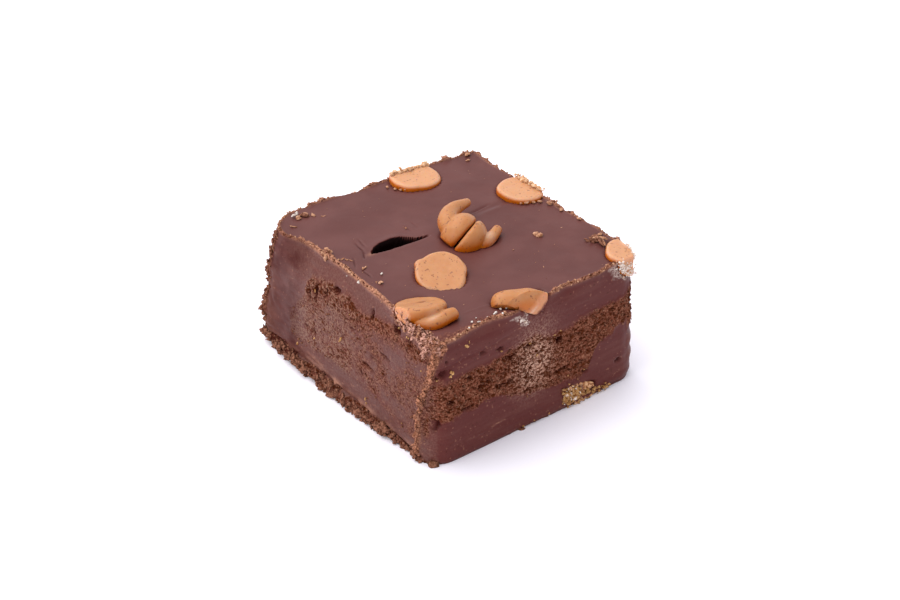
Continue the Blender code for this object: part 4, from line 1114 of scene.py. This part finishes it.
def side_bits(name, points, normals, seed):
    """The listed bits, each seated on the nearest point of its side of the square."""
    facing = {"left": (normals[:, 0] < -0.5, 1), "front": (normals[:, 1] < -0.5, 0)}
    random = np.random.default_rng(seed)
    places, sizes = [], []
    for side, along, height, length, width in SIDE_BITS:
        allowed, axis = facing[side]
        away = np.hypot(points[:, axis] - along, points[:, 2] - height) + 99.0 * ~allowed
        for _ in range(3):
            places.append(points[np.argmin(away)] + random.normal(size=3) * 0.3 * width)
            sizes.append(0.5 * np.array((length, length, width)) * random.uniform(0.6, 1.1, 3))
    return scatter(name, places, sizes, seed, np.zeros(len(places)), 9, 5)


def fringe(name, start, end, count, spread, size, seed):
    """Small ragged lumps strewn evenly along a line from start to end."""
    random = np.random.default_rng(seed)
    start, end = np.array(start), np.array(end)
    share = random.uniform(0.0, 1.0, count)
    places = start + share[:, None] * (end - start)
    places = places + random.normal(size=places.shape) * np.array(spread)
    sizes = random.gamma(3.0, size / 3.0, count).clip(0.04, 2.2 * size)
    sizes = sizes[:, None] * random.uniform(0.4, 1.6, (count, 3))
    return scatter(name, places, sizes, seed + 1, rough=0.7)


def strewn(points, normals, weight, count, seed):
    """Pick places on the block in proportion to a weight; gives places and normals."""
    random = np.random.default_rng(seed)
    chosen = random.choice(len(points), count, replace=False, p=weight / weight.sum())
    return points[chosen], normals[chosen], random


# Materials ------------------------------------------------------------------------
class Wire:
    """One socket of a material, so that sums on it can be written out plainly."""

    def __init__(self, tree, socket):
        self.tree = tree
        self.socket = socket

    def joined(self, operation, first, second=None, third=None):
        """The result of one Math node on these values or wires."""
        return node(self.tree, "ShaderNodeMath", {"operation": operation},
                    {0: first, 1: second, 2: third})

    def __add__(self, other):
        return self.joined("ADD", self, other)

    def __sub__(self, other):
        return self.joined("SUBTRACT", self, other)

    def __rsub__(self, other):
        return self.joined("SUBTRACT", other, self)

    def __mul__(self, other):
        return self.joined("MULTIPLY", self, other)

    def __truediv__(self, other):
        return self.joined("DIVIDE", self, other)

    def __pow__(self, other):
        return self.joined("POWER", self, other)

    __radd__ = __add__
    __rmul__ = __mul__

    def steps(self, low, high):
        """0 below low, 1 above high, with a smooth rise between."""
        return node(self.tree, "ShaderNodeMapRange",
                    {"interpolation_type": "SMOOTHSTEP", "clamp": True},
                    {"Value": self, "From Min": low, "From Max": high})

    def kept(self):
        """The value kept between 0 and 1."""
        return node(self.tree, "ShaderNodeClamp", {}, {"Value": self})


def node(tree, kind, settings, inputs, output=0):
    """Add a node, set its settings first, then fill or link its sockets; gives its output."""
    made = tree.nodes.new(kind)
    for key, value in settings.items():
        setattr(made, key, value)
    for key, value in inputs.items():
        if value is None:
            continue
        socket = made.inputs[key]
        if isinstance(value, Wire):
            tree.links.new(value.socket, socket)
        elif isinstance(value, (tuple, list)) and socket.type == "RGBA" and len(value) == 3:
            socket.default_value = (*value, 1.0)
        else:
            socket.default_value = value
    return Wire(tree, made.outputs[output])


def mixed(tree, share, first, second, mode="MIX"):
    """Mix two colours by a share."""
    made = tree.nodes.new("ShaderNodeMix")
    made.data_type = "RGBA"
    made.blend_type = mode
    for index, value in ((0, share), (6, first), (7, second)):
        if isinstance(value, Wire):
            tree.links.new(value.socket, made.inputs[index])
        elif isinstance(value, (tuple, list)):
            made.inputs[index].default_value = (*value, 1.0)
        else:
            made.inputs[index].default_value = value
    return Wire(tree, made.outputs[2])


def new_material(name):
    """An empty material with its shader, and the object's own coordinates."""
    material = bpy.data.materials.new(name)
    material.use_nodes = True
    tree = material.node_tree
    shader = tree.nodes["Principled BSDF"]
    place = node(tree, "ShaderNodeTexCoord", {}, {}, "Object")
    return material, tree, shader, place


def shade(tree, name):
    """A stored share of the surface."""
    return node(tree, "ShaderNodeAttribute", {"attribute_name": name}, {}, "Fac")


def noise(tree, place, size, detail=2.0, rough=0.5, distortion=0.0, stretch=None):
    """Noise whose lumps are about size millimetres across, stretched if asked."""
    if stretch:
        place = node(tree, "ShaderNodeMapping", {}, {"Vector": place, "Scale": stretch})
    return node(tree, "ShaderNodeTexNoise", {"noise_dimensions": "3D"},
                {"Vector": place, "Scale": 1.0 / (size * MM), "Detail": detail,
                 "Roughness": rough, "Distortion": distortion})


def cells(tree, place, size, stretch):
    """Distance from the middle of the nearest of many scattered cells, in shares of size."""
    place = node(tree, "ShaderNodeMapping", {}, {"Vector": place, "Scale": stretch})
    return node(tree, "ShaderNodeTexVoronoi", {"feature": "F1"},
                {"Vector": place, "Scale": 1.0 / (size * MM)}, "Distance")


def link_surface(tree, shader, colour, roughness, height, strength, depth):
    """Feed the shader its colour, roughness and bump."""
    tree.links.new(colour.socket, shader.inputs["Base Color"])
    tree.links.new(roughness.socket, shader.inputs["Roughness"])
    bump = node(tree, "ShaderNodeBump", {},
                {"Strength": strength, "Distance": depth * MM, "Height": height})
    tree.links.new(bump.socket, shader.inputs["Normal"])


def fudge_material():
    """Satin chocolate that turns rough where crumbled, with painted shade, dark and warm, in its gaps,
    holes, pits and crack, painted highlights on grain peaks, rims and burr, grey smear with painted sheen
    on the grains, and lit and shaded copies of its colour on top and sides.
    """
    material, tree, shader, place = new_material("chocolate_fudge")
    crumb, relief_shade, grey = shade(tree, "crumb"), shade(tree, "relief_shade"), shade(tree, "grey")
    burr, deep, wall = shade(tree, "burr"), shade(tree, "deep"), shade(tree, "wall")
    bloom, front = shade(tree, "bloom"), shade(tree, "front")
    cloud = noise(tree, place, 7.0, 3.0)
    fine = noise(tree, place, 0.34, 3.0, 0.65)
    grit = noise(tree, place, 0.7, 3.0, 0.6, 0.3, (1.0, 1.0, 1.5))
    streak = noise(tree, place, 1.1, 2.0, 0.5, 0.0, (0.12, 0.12, 1.0))
    # Top colour: the satin brown greyed with painted sheen, varied by a slow cloud.
    top = mixed(tree, cloud.steps(0.35, 0.65), TOP_SHEENED_DARK, TOP_SHEENED_LIGHT)
    # Painted light on the sides: a lit, greyer copy of the side colour on the left, a shaded, redder copy
    # on the front and right, picked by the front share.
    cut = mixed(tree, front, LEFT_SIDE_LIT, FRONT_SIDE_SHADED)
    cut = mixed(tree, streak.steps(0.42, 0.72) * 0.8, cut, SIDE_STREAK)
    # Holes and pits are painted in dark shade colours; the ledges round the pits take a painted highlight.
    holes = noise(tree, place, 0.42, 2.0, 0.55, 0.4, (0.7, 0.7, 1.5))
    hole = holes.steps(0.43, 0.35) * crumb.steps(0.2, 0.8)
    speck = noise(tree, place, 0.55, 1.0)
    ragged = (fine - 0.5) * 0.55
    clump = noise(tree, place, 2.2, 2.0, 0.5, 0.0, (1.0, 1.0, 1.6))
    reach = crumb.steps(0.0, 0.75) * 0.40 + (grit - 0.5) * 0.6 + (clump - 0.5) * 0.7 - 0.05
    wide = cells(tree, place, 0.95, (0.75, 0.75, 1.25))
    small = cells(tree, place, 0.5, (0.8, 0.8, 1.2))
    gap = (reach - wide - ragged).kept()
    tiny = (reach - 0.05 - small - ragged).kept()
    pit = (gap.steps(0.0, 0.05) + tiny.steps(0.0, 0.05) * 0.8) * crumb.steps(0.04, 0.22)
    pit = pit.kept()
    pit_rim_highlight = (gap.steps(-0.22, -0.06) * (1.0 - pit) * crumb.steps(0.15, 0.5)).kept()
    cut = mixed(tree, speck.steps(0.66, 0.74) * 0.35, cut, CRUMB_PEAK)
    cut = mixed(tree, speck.steps(0.31, 0.25) * 0.5, cut, CRUMB_GAP_SHADE)
    # Top or side colour by the wall share; each carries its own painted light.
    smooth = mixed(tree, wall, top, cut)
    # Crumbs run from their gap colour, painted shade, to their peak colour, partly painted highlight, by
    # relief shade and noise.
    level = (relief_shade + (fine - 0.5) * 1.1 + (grit - 0.5) * 0.4 - hole * 0.55).kept()
    crumbs = mixed(tree, level.steps(0.05, 0.5), CRUMB_GAP_SHADE, CRUMB_BODY)
    crumbs = mixed(tree, level.steps(0.6, 1.0), crumbs, CRUMB_PEAK)
    colour = mixed(tree, crumb.steps(0.15, 0.9) * (0.6 + front * 0.4), smooth, crumbs)
    colour = mixed(tree, pit_rim_highlight * fine.steps(0.4, 0.7) * 0.45, colour, CRUMB_PEAK)
    # Grey smear on the grains. On the left it also paints the sheen of the lit side, and the front copy is
    # lightened as painted light.
    smear_and_sheen = (grey * level.steps(0.25, 0.7) * (0.15 + fine.steps(0.36, 0.62) * 1.2)).kept()
    colour = mixed(tree, smear_and_sheen, colour, mixed(tree, front, GREY_SMEAR_AND_SHEEN, GREY_FRONT_LIT))
    colour = mixed(tree, pit * 0.85, colour, mixed(tree, grit.steps(0.35, 0.6), CRUMB_GAP_SHADE, PIT_SHADE_WARM))
    # The burr colour is the burr's own tan lightened by painted highlight.
    colour = mixed(tree, (burr * level.steps(0.1, 0.6) * (0.6 + 0.8 * fine)).kept(), colour, BURR_WITH_HIGHLIGHT)
    colour = mixed(tree, (bloom * fine.steps(0.36, 0.62) * 0.9).kept(), colour, BLOOM)
    # Painted shade: dark red to black in the crack, slits, pits, contact lines and the rear of the left
    # side.
    colour = mixed(tree, deep.steps(0.0, 0.6) * 0.9, colour, SHADE_DARK_RED)
    colour = mixed(tree, deep.steps(0.4, 1.0), colour, SHADE_BLACK)
    roughness = 0.42 + crumb * 0.40 + (cloud - 0.5) * 0.12 + burr * 0.15
    gloss = ((1.0 - crumb * 1.5) * (1.0 - deep * 1.6) * (0.36 - front * 0.12)).kept()
    tree.links.new(gloss.socket, shader.inputs["Coat Weight"])
    shader.inputs["Coat Roughness"].default_value = 0.36
    shader.inputs["Coat IOR"].default_value = 1.45
    height = (fine * 0.6 + grit * 0.5) * (0.05 + crumb * 0.95) + cloud * 0.3 - hole
    height = height + streak * wall * 0.2 - pit * 1.1
    link_surface(tree, shader, colour, roughness.kept(), height, 0.75, 0.28)
    shader.inputs["Specular IOR Level"].default_value = 0.03
    shader.inputs["IOR"].default_value = 1.48
    shader.inputs["Subsurface Weight"].default_value = 0.0
    return material


def chip_material():
    """Peanut-butter chip: peach and satin, warmer and darker down its wall as painted shade, pale where
    cut or filmed, with a painted rim highlight and painted light lifting the paler chips.
    """
    material, tree, shader, place = new_material("peanut_butter_chip")
    wall, cut, smear = shade(tree, "wall"), shade(tree, "cut"), shade(tree, "smear")
    pale, pit, stain = shade(tree, "pale"), shade(tree, "pit"), shade(tree, "stain")
    cloud = noise(tree, place, 1.6, 3.0)
    fine = noise(tree, place, 0.3, 2.0)
    specks = noise(tree, place, 0.5, 1.0)
    spots = noise(tree, place, 1.3, 1.0)
    colour = mixed(tree, cloud.steps(0.3, 0.7), CHIP_WARM, CHIP_LIGHT)
    # Painted light: the pale share lightens the better-lit chips.
    colour = mixed(tree, pale * 0.8, colour, CHIP_PAINTED_LIGHT)
    # Painted shade: the saturated orange down each chip's wall.
    colour = mixed(tree, wall.kept(), colour, CHIP_WALL_SHADE)
    colour = mixed(tree, specks.steps(0.64, 0.70) * spots.steps(0.36, 0.5) * 0.75, colour, CHIP_SPECK)
    colour = mixed(tree, pit * (0.5 + fine), colour, CHIP_SPECK)
    colour = mixed(tree, cut * (0.4 + 0.6 * fine), colour, CHIP_CUT)
    # Melted film, and on the flat chips the painted rim highlight.
    colour = mixed(tree, (smear * (0.5 + fine)).kept(), colour, CHIP_FILM_AND_HIGHLIGHT)
    # Fudge smeared over the cut chip, in the shaded front fudge colour.
    colour = mixed(tree, (stain * (0.6 + 0.8 * fine)).kept(), colour, FRONT_SIDE_SHADED)
    roughness = 0.38 + (cloud - 0.5) * 0.1 + cut * 0.25
    height = fine * 0.3 + cloud * 0.7
    link_surface(tree, shader, colour, roughness.kept(), height, 0.25, 0.2)
    shader.inputs["IOR"].default_value = 1.46
    shader.inputs["Specular IOR Level"].default_value = 0.3
    shader.inputs["Subsurface Weight"].default_value = 0.35
    shader.inputs["Subsurface Radius"].default_value = (1.0, 0.45, 0.15)
    shader.inputs["Subsurface Scale"].default_value = 1.4 * MM
    return material


def crushed_material():
    """The crushed chip: yellow-brown and patchy, with brown patches, its low places dark as painted shade
    and its peaks pale.
    """
    material, tree, shader, place = new_material("crushed_peanut_chip")
    relief_shade = shade(tree, "relief_shade")
    patch = noise(tree, place, 1.5, 3.0, 0.6)
    fine = noise(tree, place, 0.35, 3.0, 0.6)
    # Painted relief shade: dark in the low places, pale on the peaks.
    level = (relief_shade + 0.1 + (fine - 0.5) * 1.2).kept()
    colour = mixed(tree, level.steps(0.05, 0.5), CRUSHED_GAP_SHADE, CRUSHED_BODY)
    colour = mixed(tree, level.steps(0.5, 0.9), colour, CRUSHED_PEAK)
    colour = mixed(tree, patch.steps(0.52, 0.62) * 0.8, colour, CRUSHED_BROWN)
    link_surface(tree, shader, colour, (0.5 + fine * 0.2).kept(), fine, 0.6, 0.25)
    return material


def plain_crumb_material(name, low, high, roughness):
    """Small bits: a colour between two by a fine noise."""
    material, tree, shader, place = new_material(name)
    fine = noise(tree, place, 0.4, 3.0, 0.6)
    colour = mixed(tree, fine.steps(0.3, 0.7), low, high)
    link_surface(tree, shader, colour, (roughness + fine * 0.2).kept(), fine, 0.4, 0.15)
    shader.inputs["Specular IOR Level"].default_value = 0.15
    return material


# Top colours carry painted sheen; the left and front side colours are a lit, greyer copy and a shaded,
# redder copy of one brown.
TOP_SHEENED_DARK = (0.095, 0.030, 0.026)
TOP_SHEENED_LIGHT = (0.112, 0.038, 0.033)
LEFT_SIDE_LIT = (0.090, 0.027, 0.0215)
FRONT_SIDE_SHADED = (0.088, 0.017, 0.014)
SIDE_STREAK = (0.104, 0.028, 0.022)
# The gap, pit and deep colours are painted shade; the peak and burr colours are partly painted highlight.
CRUMB_GAP_SHADE = (0.042, 0.007, 0.001)
CRUMB_BODY = (0.118, 0.030, 0.015)
CRUMB_PEAK = (0.330, 0.145, 0.088)
PIT_SHADE_WARM = (0.075, 0.014, 0.0015)
# The grey smear colour partly paints sheen; its front copy is lightened as painted light.
GREY_SMEAR_AND_SHEEN = (0.205, 0.114, 0.082)
GREY_FRONT_LIT = (0.500, 0.300, 0.220)
BURR_WITH_HIGHLIGHT = (0.470, 0.225, 0.140)
BLOOM = (0.680, 0.560, 0.480)
SHADE_DARK_RED = (0.040, 0.004, 0.003)
SHADE_BLACK = (0.003, 0.0005, 0.0005)
# The chip wall colour is painted shade; the painted-light colour lifts the paler chips; the film colour
# also paints the rim highlight.
CHIP_LIGHT = (0.400, 0.170, 0.055)
CHIP_WARM = (0.370, 0.140, 0.038)
CHIP_PAINTED_LIGHT = (0.560, 0.280, 0.145)
CHIP_WALL_SHADE = (0.430, 0.098, 0.002)
CHIP_SPECK = (0.170, 0.050, 0.022)
CHIP_CUT = (0.560, 0.265, 0.140)
CHIP_FILM_AND_HIGHLIGHT = (0.640, 0.470, 0.360)
# The crushed gap colour is painted shade.
CRUSHED_GAP_SHADE = (0.100, 0.028, 0.004)
CRUSHED_BODY = (0.340, 0.120, 0.028)
CRUSHED_PEAK = (0.660, 0.370, 0.185)
CRUSHED_BROWN = (0.110, 0.035, 0.020)


# Stage ----------------------------------------------------------------------------
TARGET = np.array((0.0, -0.6, 12.15)) * MM
DISTANCE = 348 * MM
AZIMUTH = math.radians(-38.5)
ELEVATION = math.radians(33.3)
LENS = 80.0


def add_camera():
    """The camera, from above and from the left of the front."""
    camera = bpy.data.objects.new("camera", bpy.data.cameras.new("camera"))
    camera.data.lens = LENS
    camera.data.sensor_width = 36.0
    camera.data.clip_start = 0.01
    back = Vector((math.sin(AZIMUTH) * math.cos(ELEVATION),
                   -math.cos(AZIMUTH) * math.cos(ELEVATION), math.sin(ELEVATION)))
    camera.location = Vector(TARGET) + back * DISTANCE
    camera.rotation_mode = "QUATERNION"
    camera.rotation_quaternion = (-back).to_track_quat("-Z", "Y")
    bpy.context.scene.collection.objects.link(camera)
    bpy.context.scene.camera = camera


def add_softbox(name, place, size, power, tint):
    """A square softbox aimed at the middle of the square."""
    light = bpy.data.lights.new(name, "AREA")
    light.shape = "SQUARE"
    light.size = size
    light.energy = power
    light.color = tint
    thing = bpy.data.objects.new(name, light)
    thing.location = place
    thing.rotation_mode = "QUATERNION"
    aim = Vector((0.0, 0.0, 0.01)) - Vector(place)
    thing.rotation_quaternion = aim.to_track_quat("-Z", "Y")
    bpy.context.scene.collection.objects.link(thing)


def add_stage():
    """A pale floor, a pale even surround and two softboxes."""
    scene = bpy.context.scene
    scene.view_settings.view_transform = "Standard"
    world = bpy.data.worlds.new("surround")
    world.use_nodes = True
    world.node_tree.nodes["Background"].inputs["Color"].default_value = (0.97, 0.96, 1.0, 1.0)
    world.node_tree.nodes["Background"].inputs["Strength"].default_value = 1.05
    scene.world = world
    side = 4.0
    mesh = bpy.data.meshes.new("floor")
    mesh.from_pydata([(-side, -side, 0), (side, -side, 0), (side, side, 0), (-side, side, 0)],
                     [], [(0, 1, 2, 3)])
    floor = bpy.data.objects.new("floor", mesh)
    scene.collection.objects.link(floor)
    material = bpy.data.materials.new("pale_floor")
    material.use_nodes = True
    shader = material.node_tree.nodes["Principled BSDF"]
    shader.inputs["Base Color"].default_value = (0.90, 0.89, 0.95, 1.0)
    shader.inputs["Roughness"].default_value = 0.6
    shader.inputs["Specular IOR Level"].default_value = 0.2
    mesh.materials.append(material)
    add_softbox("top_softbox", (-0.15, 0.35, 0.70), 0.9, 6.0, (1.0, 0.99, 0.98))
    add_softbox("left_softbox", (-0.75, 0.05, 0.30), 0.5, 2.2, (1.0, 0.99, 0.98))


# The whole ------------------------------------------------------------------------
def seat(piece, material, slot, *nodes):
    """Give a piece its material and its place on the frame; the slot is not used."""
    piece.data.materials.clear()
    piece.data.materials.append(material)
    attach(piece, "root")
    if nodes:
        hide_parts(*nodes)


def main():
    """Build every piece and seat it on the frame."""
    fudge, chip, crushed = fudge_material(), chip_material(), crushed_material()
    chip_points = []
    for name in (*FLAT_CHIPS, *CURLED_CHIPS):
        thing = make_flat_chip(name) if name in FLAT_CHIPS else make_curled_chip(name)
        seat(thing, chip, "peanut_chip", name)
        chip_points.append(get_points(thing)[0])
    foot_chip = make_foot_chip("chip_foot")
    seat(foot_chip, crushed, "crushed_chip", "chip_foot")
    chip_points.append(get_points(foot_chip)[0])

    block, points, way, side, sides, top = make_block(chip_points[:-1])
    seat(block, fudge, "fudge", "fudge_block")
    points, normals = get_points(block)

    brown = plain_crumb_material("brown_crumb", (0.055, 0.013, 0.003), (0.29, 0.125, 0.078), 0.75)
    tan = plain_crumb_material("tan_crumb", (0.26, 0.10, 0.045), (0.52, 0.29, 0.18), 0.6)
    pale = plain_crumb_material("pale_crumb", (0.34, 0.25, 0.20), (0.70, 0.66, 0.62), 0.5)
    ochre = plain_crumb_material("ochre_crumb", (0.22, 0.075, 0.014), (0.58, 0.34, 0.14), 0.6)
    cream = plain_crumb_material("chip_crumb", (0.50, 0.22, 0.08), (0.74, 0.52, 0.34), 0.5)
    white = plain_crumb_material("frayed_chip", (0.56, 0.36, 0.24), (0.84, 0.78, 0.72), 0.5)
    rosy = plain_crumb_material("rosy_flake", (0.17, 0.060, 0.035), (0.62, 0.34, 0.26), 0.6)
    tawny = plain_crumb_material("tawny_crumb", (0.10, 0.026, 0.008), (0.50, 0.22, 0.13), 0.7)

    where, up, random = strewn(points, normals, sides["foot"] + 1e-9, 1200, 101)
    size = random.gamma(1.6, 0.13, len(where)).clip(0.07, 0.9)
    size = size[:, None] * random.uniform(0.45, 1.5, (len(where), 3))
    seat(scatter("foot_crumbs", where + up * size[:, :1] * 0.1, size, 102, rough=0.8), brown, "fudge")
    weight = sides["crumb"] * (1 - sides["foot"]) + 1e-9
    where, up, random = strewn(points, normals, weight, 2200, 103)
    size = random.gamma(3.0, 0.035, len(where)).clip(0.05, 0.25)
    seat(scatter("side_crumbs", where + up * size[:, None] * 0.3, size, 104), brown, "fudge")
    where, up, random = strewn(points, normals, sides["rear_left"] + 1e-9, 420, 107)
    size = random.gamma(3.0, 0.06, len(where)).clip(0.08, 0.4)
    seat(scatter("rear_corner_crumbs", where + up * size[:, None] * 0.3, size, 108), brown, "fudge")
    weight = (top["rim"] * 0.3 + top["corner"]) * (top["burr"] > 0.1)
    weight = weight * np.where(way[:, 0] < -0.7, 0.4, 1.0) + 1e-9
    where, up, random = strewn(points, normals, weight, 800, 105)
    size = random.gamma(3.0, 0.038, len(where)).clip(0.05, 0.3)
    seat(scatter("burr_crumbs", where + up * size[:, None] * 0.25, size, 106), tan, "fudge")
    where, up, random = strewn(points, normals, top["corner"] * (top["corner"] > 0.3) + 1e-9, 330, 117)
    size = random.gamma(4.0, 0.1, len(where)).clip(0.15, 0.9)[:, None] * (1.0, 0.32, 0.2)
    seat(scatter("corner_flakes", where + up * 0.12, size, 118), rosy, "fudge")
    where, up, random = strewn(points, normals, sides["ridge"] * (sides["ridge"] > 0.3) + 1e-9, 300, 119)
    size = random.gamma(2.5, 0.07, len(where)).clip(0.06, 0.45)
    size = size[:, None] * random.uniform(0.5, 1.4, (len(where), 3))
    seat(scatter("ridge_crumbs", where + up * 0.08, size, 121, rough=0.7), tawny, "fudge")
    seat(fringe("edge_clump", (-20.2, 7.7, 24.6), (-18.7, 9.3, 24.75), 40, (0.3, 0.3, 0.15), 0.22, 110),
         tan, "fudge")
    seat(bits("loose_bits", TAN_BITS, 111), tan, "fudge")
    seat(bits("white_bits", WHITE_BITS, 112), pale, "fudge")
    seat(bits("brown_flakes", BROWN_FLAKES, 113), brown, "fudge")
    seat(side_bits("side_bits", points, normals, 114), ochre, "fudge")
    weight = (normals[:, 2] > 0.9) * 1.0 + 1e-9
    where, up, random = strewn(points, normals, weight, 90, 115)
    seat(scatter("dust_specks", where + up * 0.03, random.uniform(0.03, 0.075, len(where)), 116),
         tan, "fudge")
    seat(fringe("edge_bloom", (-4.3, -24.25, 22.3), (-2.9, -24.35, 21.2), 34, (0.3, 0.04, 0.2), 0.08, 120),
         white, "fudge")
    seat(fringe("corner_bloom", (17.6, -24.2, 24.0), (20.9, -24.15, 21.2), 230, (0.5, 0.07, 0.5), 0.11,
                130), white, "peanut_chip")
    seat(fringe("corner_fringe", (21.2, -24.1, 24.2), (22.3, -20.6, 24.9), 60, (0.1, 0.2, 0.15), 0.12,
                135), white, "peanut_chip")
    seat(fringe("crushed_crumbs", (5.3, -25.0, 2.9), (8.8, -25.05, 1.7), 130, (0.5, 0.06, 0.9), 0.2, 160),
         ochre, "crushed_chip")
    seat(fringe("crushed_pale", (5.5, -25.05, 2.9), (8.6, -25.1, 2.3), 34, (0.5, 0.06, 0.9), 0.15, 168),
         white, "crushed_chip")
    seat(fringe("crushed_tail", (8.2, -25.0, 2.0), (15.6, -25.05, 0.7), 80, (0.3, 0.06, 0.35), 0.16, 165),
         ochre, "crushed_chip")
    seat(fringe("rear_left_fringe", (4.4, 22.1, 25.5), (12.4, 21.6, 25.1), 110, (0.1, 0.15, 0.16), 0.17,
                140), cream, "peanut_chip")
    seat(fringe("rear_right_fringe", (22.5, 1.2, 25.2), (22.4, 8.6, 25.3), 110, (0.15, 0.1, 0.16), 0.17,
                150), cream, "peanut_chip")

    add_camera()
    add_stage()


main()
